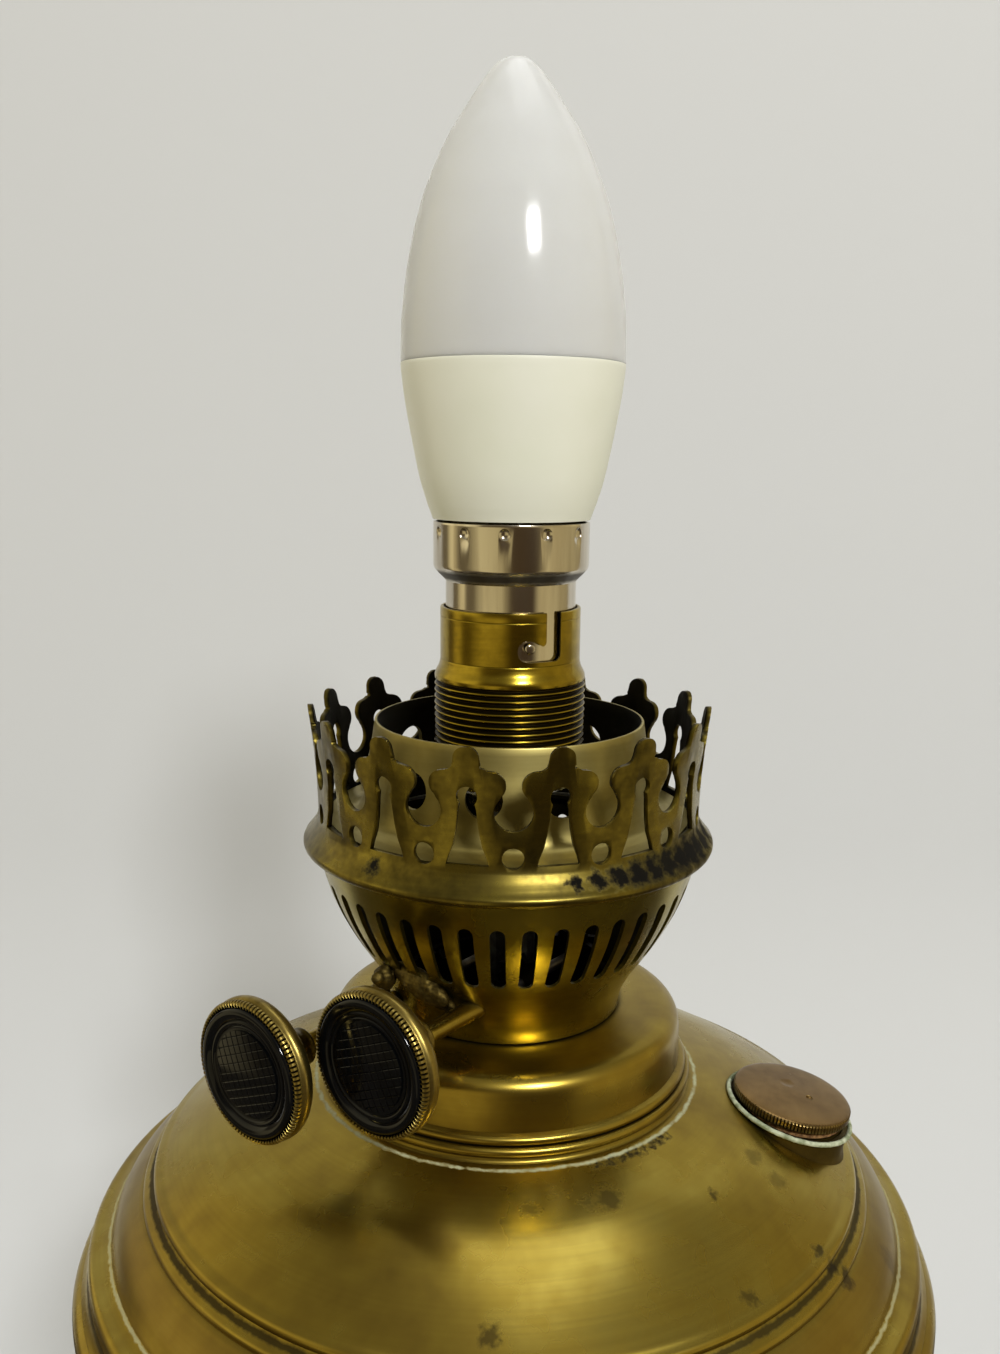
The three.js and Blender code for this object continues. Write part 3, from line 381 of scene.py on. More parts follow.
# %% Mottled finishes
def mottled(name, light, dark, across, rough, grain=0.0, stretch=(1, 1, 1), **fixed):
    made, tree, shader = new_finish(name, **fixed)
    blotch = add(tree, "TexNoise", {"Vector": spaced(tree, across, stretch), "Scale": 1.0, "Detail": 4.0})
    tone = add(tree, "ValToRGB", {"Fac": blotch}, [(0.38, dark), (0.62, light)])
    gloss = add(tree, "ValToRGB", {"Fac": blotch}, [(0.35, rough[1]), (0.65, rough[0])])
    fine = add(tree, "TexNoise", {"Vector": spaced(tree, across / 5, stretch), "Scale": 1.0, "Detail": 3.0})
    bump = add(tree, "Bump", {"Height": fine, "Strength": 0.3, "Distance": grain * MM})
    feed(tree, shader, {"Base Color": tone, "Roughness": gloss, "Normal": bump})
    return made


# Polycarbonate, moulded with a milky filler: light goes a few millimetres in, so it looks soft
milky_cover = mottled("milky polycarbonate", "#d2d5d6", "#cfd2d2", 30, (0.11, 0.14), ior=1.42,
                      subsurface_weight=0.8, subsurface_radius=(1, 1, 0.95), subsurface_scale=0.005)
# Thermoplastic with a satin mould: warm white, and hardly any gloss
warm_body = mottled("warm white moulded plastic", "#e0e2d6", "#dcdfd0", 20, (0.38, 0.46), 0.01, ior=1.49)
# Pressed steel under bright nickel: a warm grey mirror with faint vertical draw lines
nickel = mottled("nickel plated steel", "#dad3c4", "#c6bdac", 2.5, (0.12, 0.2), 0.004, (1, 1, 12),
                 metallic=1.0)
# Drawn steel wire, dulled by years of lamp oil
steel = mottled("old steel", "#8f8778", "#5f574a", 3, (0.3, 0.5), 0.01, metallic=1.0)
# Zinc on turned steel: the hidden rod, nuts and washers
zinc = mottled("zinc plated steel", "#a9abad", "#85888c", 2, (0.3, 0.42), 0.01, metallic=1.0)
# Sand-cast iron, rough all over and slightly rusty
iron = mottled("cast iron", "#4b4642", "#33302d", 2.2, (0.65, 0.85), 0.25, metallic=0.8)
# Brass inside the burner, under years of lamp black and oil
smoked_brass = mottled("smoked brass", "#1d1810", "#0e0b08", 4, (0.45, 0.6), 0.02, metallic=1.0)
# Pressed phenolic resin: black, glassy, polished on the mould
black_resin = mottled("black pressed resin", "#08090b", "#040506", 5, (0.06, 0.12), 0.004, ior=1.5,
                      specular_ior_level=0.25)
# Vulcanised rubber of the bush: black and matt
rubber = mottled("black rubber", "#1a1a1a", "#111111", 3, (0.6, 0.75), 0.02, ior=1.52)
# Glazed porcelain: cool white under a clear glaze
porcelain = mottled("glazed porcelain", "#e9e4d8", "#ded8ca", 6, (0.12, 0.2), 0.01, ior=1.5, coat_weight=0.6)
# Cork: brown with darker pores, dry
cork = mottled("cork", "#a9814f", "#5f4126", 0.9, (0.85, 0.95), 0.12, ior=1.45)
# Pressed wool felt: short fibres, which catch light at its edge
felt = mottled("green wool felt", "#35503c", "#24392a", 0.7, (0.9, 1.0), 0.2, sheen_weight=0.5,
               sheen_roughness=0.5)
# Glass-fibre board under green lacquer
board = mottled("lacquered circuit board", "#2f6a45", "#265a3a", 1.2, (0.3, 0.4), 0.02, ior=1.5)
# Tin and lead solder, dulled
solder = mottled("old solder", "#6d6a5e", "#2f2b22", 0.9, (0.35, 0.6), 0.08, metallic=0.8)
print("plain finishes", len(bpy.data.materials))

# %% [markdown]
# ### Aged brass
# The lamp's brass was polished often and has darkened between: a greenish olive gold,
# blotched over a few centimetres. Grooves and corners, which Ambient Occlusion finds, are
# darkened: partly dirt that stays there, partly painted shade. The brushing round the axis
# is finer on real brass than the render can show, so it is drawn coarser, 0.7 mm wide.

# %% Brass
def aged_brass(name, tones=("#ae9c49", "#9f8938", "#836d2e"), rough=(0.24, 0.32), across=26, brushed=0.1,
               dirt_and_shade=0.9):
    """Tones go from light to dark and roughness from polished to dull, in blotches this many
    millimetres across. Brushed and dirt_and_shade say how strong the brushing and the darkened hollows (dirt
    and painted shade) are."""
    made, tree, shader = new_finish(name, metallic=1.0)
    light, mid, dark = tones
    wide = add(tree, "TexNoise", {"Vector": spaced(tree, across), "Scale": 1.0, "Detail": 4.0})
    small = add(tree, "TexNoise", {"Vector": spaced(tree, across / 6), "Scale": 1.0})
    both = add(tree, "Mix", {0: 0.3, 2: wide, 3: small})
    tone = add(tree, "ValToRGB", {"Fac": both}, [(0.3, dark), (0.7, light), (0.5, mid)])
    gloss = add(tree, "ValToRGB", {"Fac": both}, [(0.35, rough[1]), (0.65, rough[0])])
    feed(tree, shader, {"Base Color": tone, "Roughness": gloss})

    lines = add(tree, "TexNoise", {"Vector": turned_marks(tree, 0.7), "Scale": 1.0})
    streak = add(tree, "MapRange", {"Value": lines, "From Min": 0.35, "From Max": 0.75,
                                    "To Max": 2.5 * brushed})
    coat(made, "Base Color", streak, dark)

    # Hollows that Ambient Occlusion finds get a dark brown: partly dirt, partly painted shade.
    open_sky = add(tree, "AmbientOcclusion", {"Distance": 1.6 * MM}, samples=6).outputs["AO"]
    hidden = add(tree, "MapRange", {"Value": open_sky, "From Min": 0.85, "From Max": 0.35, "To Max": dirt_and_shade})
    coat(made, "Base Color", hidden, "#191308")
    coat(made, "Roughness", hidden, 0.6)

    bump = add(tree, "Bump", {"Height": lines, "Strength": 0.15, "Distance": 0.02 * MM})
    slow = add(tree, "TexNoise", {"Vector": spaced(tree, across), "Scale": 1.0, "Detail": 1.0})
    bump = add(tree, "Bump", {"Height": slow, "Strength": 0.2, "Distance": 0.3 * MM, "Normal": bump})
    feed(tree, shader, {"Normal": bump})
    return made


# %% [markdown]
# ### Marks of age
# Stains, verdigris and soot lie over the metal and aren't metal themselves. Each is a mask.
# A stain is a ball of space with a ragged edge. Verdigris follows a ring, so its mask
# measures in the section plane.

# %% Masks
def ragged(tree, wander):
    """The lamp's own coordinates, pushed about by noise, so that masks get ragged edges."""
    place = add(tree, "TexCoord").outputs["Object"]
    push = add(tree, "TexNoise", {"Vector": spaced(tree, 1.6), "Scale": 1.0, "Detail": 8.0, "Roughness": 0.6})
    push = push.outputs["Color"]
    push = add(tree, "VectorMath", {0: push, 1: (0.5, 0.5, 0.5)}, operation="SUBTRACT")
    push = add(tree, "VectorMath", {0: push, "Scale": 2 * wander * MM}, operation="SCALE")
    return add(tree, "VectorMath", {0: place, 1: push}, operation="ADD")


def spots(tree, places, wander=2.0, fade=0.5, space=None):
    """Stains: each is a place, a radius and a strength. Fade is the share that is full strength."""
    space = space or ragged(tree, wander)
    total = 0.0
    for place, radius, strength in places:
        apart = add(tree, "VectorMath", {0: space, 1: mm(*place)}, operation="DISTANCE").outputs["Value"]
        near = add(tree, "MapRange", {"Value": apart, "From Min": radius * MM, "From Max": radius * fade * MM,
                                      "To Max": strength})
        total = add(tree, "Math", {0: near, 1: total}, operation="MAXIMUM")
    return total


def rings(tree, places, wander=0.5):
    """Lines round the axis: each is a radius, a height, a half width and a strength."""
    section, _ = in_section(tree, ragged(tree, wander))
    return spots(tree, [((radius, height, 0), half, strength) for radius, height, half, strength in places],
                 fade=0.4, space=section)


def lay_over(made, make_mask, places, tone, rough, dull=1.0, **how):
    """Covers a finish where the mask is 1. Dull is how far the cover hides the metal's shine."""
    tree = made.node_tree
    shader = tree.nodes["Principled BSDF"]
    mask = make_mask(tree, places, **how)
    coat(made, "Base Color", mask, tone)
    coat(made, "Roughness", mask, rough)
    bare = add(tree, "MapRange", {"Value": mask, "To Min": 1.0, "To Max": 1.0 - dull})
    if shader.inputs["Metallic"].links:
        under = shader.inputs["Metallic"].links[0].from_socket
        bare = add(tree, "Math", {0: under, 1: bare}, operation="MULTIPLY")
    feed(tree, shader, {"Metallic": bare})


# %% Font and collar finish
brass = aged_brass("aged brass, polished by hand")
lay_over(brass, spots, [
    ((15.8, -37.8, 182.5), 2.6, 0.7), ((12.6, -38.8, 182.4), 1.6, 0.5), ((4.0, -40.6, 182.5), 1.6, 0.4),
    ((-1.8, -57.0, 174.3), 2.2, 0.75), ((35.7, -47.0, 172.8), 2.0, 0.7), ((40.7, -22.6, 180.2), 2.2, 0.35),
    ((44.0, -25.5, 178.1), 2.0, 0.35), ((32.4, -33.5, 180.2), 1.2, 0.7), ((48.2, -35.4, 172.3), 1.7, 0.8),
    ((50.4, -35.6, 170.4), 1.8, 0.85), ((53.0, -35.8, 168.1), 2.0, 0.85), ((29.2, -9.8, 190.8), 2.2, 0.4),
    ((62.0, -25.0, 163.0), 3.4, 0.4),
], "#1e1508", 0.45, 0.15, wander=2.2)
crust = [((*at_bearing(a, 34.7), 184.1), 1.25, 0.9) for a in (24, 27, 29, 32, 35, 37, 40, 43, 45, 48)]
lay_over(brass, spots, crust, "#14110a", 0.6, 0.3, wander=2.6, fade=0.3)
lay_over(brass, rings, [(66.3, TIPS - 85.6, 4.6, 0.45)], "#6b5531", 0.36, 0.0, wander=1.0)
lay_over(brass, rings, [(62.3, TIPS - 81.4, 0.8, 0.85), (73.2, TIPS - 95.2, 1.0, 0.8)], "#1f180b", 0.6, 0.1)
lay_over(brass, rings, [(33.9, TIPS - 67.1, 0.5, 0.85), (69.6, TIPS - 90.4, 0.4, 0.5)], "#b4b99a", 0.85)

# %% Burner finishes
bowl_brass = aged_brass("aged brass of the burner", ("#a9993e", "#91822f", "#6f6323"), (0.22, 0.3), 16)
crown_brass = aged_brass("worn sheet brass", ("#958638", "#70632b", "#433a1a"), (0.24, 0.36), 9, 0.08)
# Soot lies on the crown's band in blots, each a bearing and a radius, which run together at the right
SOOT = ((-38, 2.0), (17, 1.5), (24, 2.0), (30, 2.5), (36, 3.125), (42, 3.5), (48, 3.75), (54, 4.0), (60, 4.0),
        (66, 4.0), (73, 3.75), (80, 3.25))
soot = [((*at_bearing(a, 33.9), TIPS - 20.9), radius, 0.97) for a, radius in SOOT]
lay_over(crown_brass, spots, soot, "#050403", 0.95, 0.35, wander=2.4, fade=0.4)
tube_brass = aged_brass("dull drawn brass", ("#bfb272", "#afa162", "#93854b"), (0.4, 0.48), 20)
holder_brass = aged_brass("bright drawn brass", ("#bfa63a", "#a48d2d", "#7a661c"), (0.16, 0.24), 11, 0.15)
# Dark brass for the thread's valleys and the rear knob's hub: partly dirt, partly painted shade.
thread_dirt_and_shade = aged_brass("brass thread, dirt and painted shade", ("#5a4c20", "#453a18", "#2b2410"), (0.3, 0.4), 5)
cast_brass = aged_brass("cast brass, left rough", ("#86743a", "#64552a", "#332a15"), (0.5, 0.65), 2.6, 0.3)
stand_brass = aged_brass("spun brass of the stand")
knob_brass = aged_brass("milled brass", ("#b5a25a", "#948144", "#5a4b22"), (0.3, 0.42), 8, dirt_and_shade=1.0)
# Dark brass for the neck's fillet: painted shade under the verdigris ring.
fillet_shade_brass = aged_brass("solder fillet, painted shade", ("#6f6030", "#5f5128", "#4b3f1e"), (0.5, 0.6), 12, 0.05)
cap_bronze = aged_brass("browned brass", ("#96794c", "#80663e", "#664e2d"), (0.2, 0.28), 14, 0.05)
cap_edge = aged_brass("knurled brass edge", ("#a9915a", "#877144", "#4d3c20"), (0.25, 0.4), 6, dirt_and_shade=1.0)
# A near-black band round the skirt's slope: painted shade and painted dark reflection under its overhang.
lay_over(nickel, rings, [(12.0, TIPS + 22.0, 1.5, 0.85)], "#120e0a", 0.5, 0.3, wander=0.2)

# %% [markdown]
# Lamp smoke blackened the inner sides of the crown and the tube. The inner side is where
# the surface faces the axis, so the mask is the normal against the way out from the axis.

# %% Smoke on the inner sides
for made in (crown_brass, tube_brass, bowl_brass):
    tree = made.node_tree
    coordinates = add(tree, "TexCoord").outputs
    _, outward = in_section(tree, coordinates["Object"])
    facing = add(tree, "VectorMath", {0: coordinates["Normal"], 1: outward}, operation="DOT_PRODUCT")
    smoked = add(tree, "MapRange", {"Value": facing.outputs["Value"], "From Min": 0.15, "From Max": -0.25,
                                    "To Max": 0.97})
    coat(made, "Base Color", smoked, "#060607")
    coat(made, "Roughness", smoked, 0.55)
print("finishes", len(bpy.data.materials))

# %% [markdown]
# ## Stage
# A pale sweep of painted card bends up into a wall close behind the lamp. It is clear from
# behind, so that the lamp can be seen from all sides. The brass in the photograph mirrors
# something dark below the lamp, so in reflections, and only there, the floor is dark.

# %% Sweep
STAGE_COLOUR = "#d0d1cf"
CARD_COLOUR = "#d6d8d9"
TABLE_MIRRORED = "#4a4235"
card, tree, shader = new_finish("painted card", roughness=0.95)
height = add(tree, "SeparateXYZ", {"Vector": add(tree, "TexCoord").outputs["Object"]}).outputs["Z"]
low = add(tree, "MapRange", {"Value": height, "From Min": 25 * MM, "From Max": 5 * MM})
mirrored = add(tree, "LightPath").outputs["Is Glossy Ray"]
mirrored = add(tree, "Math", {0: mirrored, 1: low}, operation="MULTIPLY")
paint = add(tree, "Mix", {0: mirrored, 6: colour(CARD_COLOUR), 7: colour(TABLE_MIRRORED)}, data_type="RGBA")
feed(tree, shader, {"Base Color": paint})
seen = add(tree, "LightPath").outputs["Is Camera Ray"]
even = add(tree, "Math", {0: seen, 1: 0.3}, operation="MULTIPLY")
pale = add(tree, "Emission", {"Color": colour(STAGE_COLOUR)})
evened = add(tree, "MixShader", {0: even, 1: shader, 2: pale})
behind = add(tree, "NewGeometry").outputs["Backfacing"]
clear = add(tree, "BsdfTransparent")
shown = add(tree, "MixShader", {0: behind, 1: evened, 2: clear})
tree.links.new(shown.outputs[0], tree.nodes["Material Output"].inputs["Surface"])

WALL = 240
BEND = 150
SWEEP_WIDTH = 840
sweep_line = [(-300, 0), (WALL - BEND, 0), *arc(WALL - BEND, BEND, BEND, -90, 0, 24), (WALL, 700)]
sweep = trace("floor", sweep_line)
select_all()
shift(0, -SWEEP_WIDTH / 2, 0)
extrude(0, SWEEP_WIDTH, 0)
close_mesh()
sweep.rotation_euler.z = radians(90)
settle(sweep, 60)
if sum(face.normal.z * face.area for face in sweep.data.polygons) < 0:
    open_mesh(sweep)
    bpy.ops.mesh.flip_normals()
    bpy.ops.object.mode_set(mode="OBJECT")
sweep.data.materials.append(card)

# %% [markdown]
# ## Light
# A window on the right gives the bulb its highlight and casts the shadow on the wall. Two
# weak lamps stand for the lit ceiling and the wall on the left, which only adds light: what
# the brass mirrors is the room itself, with its walls of beige and dark brown.

# %% World
# Both go round from behind the lamp by its left side: low down the walls are dark with beige
# strips, and higher up the one on the left is pale
NEAR_WALLS = [(0.0, "#8f8369"), (1.0, "#b8ab8c"), (0.2, "#6b5f48"), (0.225, "#dccc9b"), (0.25, "#dccc9b"),
              (0.27, "#6b5f48"), (0.31, "#6b5f45"), (0.37, "#d2c394"), (0.46, "#bfb083"), (0.505, "#4a3b27"),
              (0.61, "#45382a"), (0.65, "#cdbd8e"), (0.84, "#a39570")]
HIGH_WALLS = [(0.0, "#8f8369"), (1.0, "#8f8369"), (0.12, "#a4977a"), (0.16, "#f0e2b5"), (0.345, "#f0e2b5"),
              (0.38, "#6b5f48"), (0.5, "#4a3b27"), (0.65, "#b5a67c"), (0.8, "#cdbd8e"), (0.86, "#958869")]
world = bpy.data.worlds.new("room")
bpy.context.scene.world = world
world.use_nodes = True
tree = world.node_tree
toward = add(tree, "TexCoord").outputs["Generated"]
turned_round = add(tree, "Mapping", {"Vector": toward, "Rotation": (0, 0, radians(90))})
bearing_share = add(tree, "TexGradient", {"Vector": turned_round}, gradient_type="RADIAL")
near_walls = add(tree, "ValToRGB", {"Fac": bearing_share}, NEAR_WALLS)
high_walls = add(tree, "ValToRGB", {"Fac": bearing_share}, HIGH_WALLS)
height = add(tree, "SeparateXYZ", {"Vector": toward}).outputs["Z"]
above = add(tree, "MapRange", {"Value": height, "From Min": 0.0, "From Max": 0.08})
walls = add(tree, "Mix", {0: above, 6: near_walls, 7: high_walls}, data_type="RGBA")
ceiling = add(tree, "MapRange", {"Value": height, "From Min": 0.4, "From Max": 0.8})
room = add(tree, "Mix", {0: ceiling, 6: walls, 7: colour("#8f8a7c")}, data_type="RGBA")
seen = add(tree, "LightPath").outputs["Is Camera Ray"]
sky = add(tree, "Mix", {0: seen, 6: room, 7: colour(STAGE_COLOUR)}, data_type="RGBA")
feed(tree, tree.nodes["Background"], {"Color": sky})


# %% Lamps
LIT_PLACE = Vector((0, 0, 0.25))
BULB_FOOT = 0.28


def soft_light(name, place, size, power, mirrored=True):
    data = bpy.data.lights.new(name, "AREA")
    data.shape = "RECTANGLE"
    data.size, data.size_y = size
    data.energy = power
    made = bpy.data.objects.new(name, data)
    bpy.context.scene.collection.objects.link(made)
    made.location = place
    made.rotation_euler = (LIT_PLACE - Vector(place)).to_track_quat("-Z", "Y").to_euler()
    made.visible_glossy = mirrored


def round_the_lamp(bearing, height, reach):
    """A place in metres, at this bearing and this many degrees above the bulb's foot."""
    e = radians(height)
    return (*at_bearing(bearing, reach * cos(e)), BULB_FOOT + reach * sin(e))


soft_light("window", round_the_lamp(22, 34, 1.2), (0.22, 0.16), 12.5)
soft_light("side wall", round_the_lamp(-116, 32, 1.2), (1.0, 1.0), 5.0, mirrored=False)
soft_light("ceiling", (0.12, 0.12, 1.5), (0.7, 0.7), 2.5)

bpy.context.scene.view_settings.view_transform = "Standard"
print("lamps", [lamp.name for lamp in bpy.data.lights])

# %% [markdown]
# ## Font
# The upper shell is one spinning: a dome, a groove with a bead, a convex band, a second
# groove and bead, and the rim bead where it meets the lower shell.

# %% Font
def dress(piece, body, finish, replaced):
    """Gives a piece its material and ties it to the frame. Replaced names the CAD's nodes."""
    piece.data.materials.clear()
    piece.data.materials.append(finish)
    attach(piece, body)
    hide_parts(*replaced.split())


def second_finish(piece, finish, wanted):
    """Gives the wanted faces of a piece a finish of their own."""
    piece.data.materials.append(finish)
    for face in piece.data.polygons:
        face.material_index = 1 if wanted(face) else 0


dome_top = flowing([(24.5, -64.6), (29, -65.7), (34, -66.9), (40, -68.6), (46, -70.7), (52, -73.7),
                    (57, -76.6), (60.6, -78.9)])
shoulder = [
    *arc(60.9, -80.1, 1.1, 58, -40, 4),
    (62.1, -81.3), (62.6, -81.6),
    *arc(62.9, -82.95, 0.95, 75, -25, 5),
    *flowing([(64.3, -83.6), (66.3, -85.3), (68.0, -87.3), (69.0, -89.2)]),
    (69.3, -90.2), (69.9, -90.6),
    *arc(71.7, -92.7, 1.5, 95, -20, 6),
    *flowing([(73.2, -94.0), (73.15, -95.0), (73.6, -96.2), (74.4, -97.2)], 3),
    *arc(73.55, -99.9, 2.45, 70, -90, 8),
]
inside = [(71.6, -102.3), (71.6, -99.0), (66.0, -92.0), (62.0, -86.0), (58.0, -80.5), (44, -73.0),
          (24.5, -66.2)]
font_upper = spun("font_top", lifted(dome_top + shoulder + inside, TIPS), 192)
dress(font_upper, "lamp", brass, "font_upper")

# The bowl is a quarter of an ellipse round a small flat floor
FLAT, WIDE, DEEP, SHEET, ROD_HOLE = 24, 49.6, 54.0, 1.1, 5.2
quarter = arc(0, 0, 1, 0, -90, 24)
font_top_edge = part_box("font_lower")[1][2] / MM
bowl_out = [(FLAT + a * WIDE, font_top_edge + b * DEEP) for a, b in quarter]
bowl_in = [(FLAT + a * (WIDE - SHEET), font_top_edge + b * (DEEP - SHEET)) for a, b in reversed(quarter)]
floor = [(ROD_HOLE, FONT_FLOOR), (ROD_HOLE, FONT_FLOOR + SHEET)]
font_lower = spun("font_bowl", bowl_out + floor + bowl_in, 160)
dress(font_lower, "lamp", stand_brass, "font_lower")

# %% [markdown]
# ## Collar
# A ring soldered on the dome. Its flat top carries the burner, its wall stands straight,
# and two beads run round its foot above a small cove.

# %% Collar
collar_out = [
    (19.6, -53.3), (24.2, -53.3),
    *flowing([(26.5, -53.35), (28.2, -53.6), (29.6, -54.3), (30.5, -55.5), (30.8, -57.2)]),
    (30.85, -60.0), (30.9, -62.4),
    *arc(31.25, -63.45, 0.85, 75, -65, 6),
    (31.5, -64.25),
    *arc(32.0, -64.95, 0.85, 70, -60, 6),
    *flowing([(32.3, -65.9), (32.5, -66.4), (33.1, -66.75), (33.7, -66.9)], 3),
]
collar_in = [(33.6, -67.15), (29.5, -66.3), (29.3, -57.0), (28.0, -55.2), (19.6, -54.8)]
collar = spun("collar", lifted(collar_out + collar_in, TIPS), 192)
dress(collar, "lamp", brass, "font_collar")

# %% [markdown]
# ## Burner bowl
# A thin pressing, pierced by a slot tool with round ends that is set round the axis.

# %% Burner bowl
bowl_curve = flowing([(20.1, -53.0), (20.2, -51.5), (20.6, -50), (21.5, -48), (23.2, -45.1), (25.2, -42.3),
                      (27.2, -39.2), (29.0, -36), (30.4, -33), (31.5, -30), (32.5, -26.5), (32.9, -25.0)], 3)
bowl_lip = [(33.0, -24.6), (29.8, -24.6), (29.8, -25.3)]
bowl_back = [(r - 0.8, z) for r, z in reversed(bowl_curve)]
bowl = spun("air_bowl", lifted(bowl_curve + bowl_lip + bowl_back, TIPS), 200)
slot_shape = arc(0, -29.95, 1.2, 0, 180, 8) + arc(0, -39.4, 1.2, 180, 360, 8)
AIR_SLOTS, SLOT_PHASE = 40, 6.4
cut(bowl, [ring_of(prism("slot_tool", lifted(slot_shape, TIPS), -36, -22), AIR_SLOTS, SLOT_PHASE)])
settle(bowl)
dress(bowl, "burner", bowl_brass, "burner_bowl")

# %% [markdown]
# ## Crown
# The gallery is one pressing: a band that flares out to a rolled edge, and fifteen spring
# fingers. Each has a knob at its tip, a shoulder on each side and a keyhole in the middle,
# and a round hole lies below each notch.

# %% Crown
FINGERS = 15
FINGER_PHASE = 13.4
GAP_PHASE = FINGER_PHASE + 180 / FINGERS
crown_out = [
    (34.3, 0), (33.85, -3), (33.4, -7), (33.05, -11), (32.85, -15), (32.8, -18.2),
    *flowing([(32.95, -19.3), (33.6, -20.6), (34.4, -21.7)], 3),
    *arc(34.4, -23.25, 1.0, 62, -130, 8),
]
crown_in = [
    (33.3, -23.0), (33.0, -22.1), (32.3, -20.6), (31.95, -18.8), (31.95, -15), (32.15, -11), (32.5, -7),
    (32.95, -3), (33.4, 0),
]
crown = spun("crown", lifted(crown_out + crown_in, TIPS), 240)
half_gap = [
    *arc(0, -10.1, 2.95, -90, 42, 10),
    *arc(3.3, -5.95, 2.15, 230, 100, 10),
    (3.9, -3.68), (4.45, -3.42), (4.78, -3.15), (5.0, -2.5),
    *arc(7.0, -1.85, 1.88, 178, 102, 7),
    (6.6, 3.0),
]
gap_shape = half_gap + [(-x, z) for x, z in reversed(half_gap[1:])]
half_key = [
    (3.3, -18.4), (2.95, -17.2), (2.25, -15.4), (1.8, -13.2), (1.55, -11.2), (1.4, -9.8),
    *arc(0, -7.75, 1.6, -42, 90, 7),
]
key_shape = half_key + [(-x, z) for x, z in reversed(half_key[:-1])]
nick_shape = arc(2.25, -3.05, 0.34, 0, 315, 7)
hole_shape = arc(0, -17.2, 1.7, 0, 345, 23)
for shape, phase in ((gap_shape, GAP_PHASE), (key_shape, FINGER_PHASE), (hole_shape, GAP_PHASE),
                     (nick_shape, FINGER_PHASE)):
    cut(crown, [ring_of(prism("crown_tool", lifted(shape, TIPS), -36.5, -31.0), FINGERS, phase)])
settle(eased(crown, 0.14))
dress(crown, "burner", crown_brass, "gallery")

# %% [markdown]
# ## Draught tube
# A tube inside the crown with a ring of round holes, which widens down to a flat deck
# that carries the crown.

# %% Draught tube
tube_out = [
    *arc(22.85, -2.95, 0.25, 90, 0, 2),
    *flowing([(23.25, -4), (23.7, -7), (24.3, -10), (24.7, -14), (25.1, -16.5), (26.2, -18.3),
              (28.5, -18.95)]),
    (31.1, -19.0), (31.1, -24.0), (30.3, -24.0), (30.3, -19.8),
]
tube_in = flowing([(27.5, -19.7), (25.2, -18.6), (24.2, -16.6), (23.9, -14), (23.5, -10), (22.9, -7),
                   (22.5, -4)])
tube = spun("inner_tube", lifted(tube_out + tube_in + [(22.6, -2.75)], TIPS), 192)
TUBE_HOLES, HOLE_PHASE = 12, -9
cut(tube, [ring_of(drill("tube_drill", 3.0, -28, -18, TIPS - 10.8, 32), TUBE_HOLES, HOLE_PHASE)])
settle(tube)
dress(tube, "burner", tube_brass, "draught_tube")

# %% [markdown]
# ## Lampholder
# A drawn brass tube with two hooked slots for the bulb's pins. Below a short flare it
# carries an outside thread, which once took a shade ring. The thread is drawn as rings.

# %% Lampholder shell
LOCK = 14.8
TURN = 20.6
THREAD_TURNS = 14
THREAD_PITCH = 1.1
HOLDER_RIM = 16.55
HOLDER_RADIUS = 11.9
PIN_LEVEL = HOLDER_RIM - 5.6
holder_outer = [
    (11.3, HOLDER_RIM), *arc(11.6, 16.3, 0.3, 90, 0, 3), (HOLDER_RADIUS, 15.1), (11.8, 15.0), (11.88, 14.85),
    (11.88, 7.9), (11.8, 7.8), (11.88, 7.65),
    *flowing([(HOLDER_RADIUS, 7.4), (12.15, 6.5), (12.6, 5.6), (12.8, 5.0), (12.8, 4.4)], 3),
]
crests = []
for turn_number in range(THREAD_TURNS):
    crest = 3.4 - THREAD_PITCH * turn_number
    crests += [(12.2, crest + 0.62), (12.2, crest + 0.5), (12.75, crest + 0.14), (12.83, crest),
               (12.75, crest - 0.14)]
holder_inner = [(12.36, -11.4), (11.3, -11.4)]
holder = spun("lampholder_tube", lifted(holder_outer + crests + holder_inner, TIPS), 160, angle=25)

# Each slot comes straight down, turns a corner and ends in a pocket behind a tooth
way_in = HOLDER_RADIUS * sin(radians(TURN)) + 0.25
half = 1.35
left, right = way_in - half, way_in + half
pocket = flowing([(1.4, 0.8), (0.9, 1.0), (0.1, 1.2), (-0.8, 1.1), (-1.5, 0.6), (-1.8, -0.2), (-1.75, -1.1),
                  (-1.35, -1.85), (-0.6, -2.25), (0.3, -2.35)], 3)
corner = arc(right - 1.1, -1.25, 1.1, -90, 0, 5)
tooth = flowing([(left, 1.3), (left - 0.05, 0.75), (left - 0.35, 0.35), (left - 0.75, 0.3), (1.4, 0.8)], 3)
hook = lifted(pocket + corner + [(right, 8.0), (left, 8.0)] + tooth[:-1], PIN_LEVEL)
cut(holder, [ring_of(prism("hook_tool", lifted(hook, TIPS), -14, -8), 2, LOCK)])
settle(eased(holder, 0.08, 1), 25)
dress(holder, "burner", holder_brass, "lampholder_shell")
# The valleys of the thread are darkened: dirt, and painted shade.
second_finish(holder, thread_dirt_and_shade, lambda face: (
    face.center.z / MM < TIPS + 4.1 and HOLDER_RADIUS < hypot(*face.center.xy) / MM < 12.6))

# %% [markdown]
# ## Bulb
# A candle-shaped cover of milky plastic on a warm white moulded body. A plated skirt,
# crimped at a ring of dimples, holds the body and steps down to the cap and its two pins.

# %% Bulb shapes
cover_curve = flowing([(18.3, 56.22), (18.34, 56.8), (18.28, 60), (18.1, 64), (17.1, 72), (15.0, 81),
                       (11.6, 89.3), (8.2, 95.0), (5.2, 99.4), (3.2, 101.7), (1.5, 102.7), (0.0, 102.95)], 5)
cover_back = [(0.0, 101.6), (3.0, 100.1), (7.0, 94.8), (10.6, 88.8), (13.9, 80.6), (16.0, 71.8), (17.1, 63),
              (17.2, 56.22)]
cover = spun("bulb_cover", lifted(cover_curve + cover_back, TIPS))
dress(cover, "bulb", milky_cover, "bulb_diffuser")

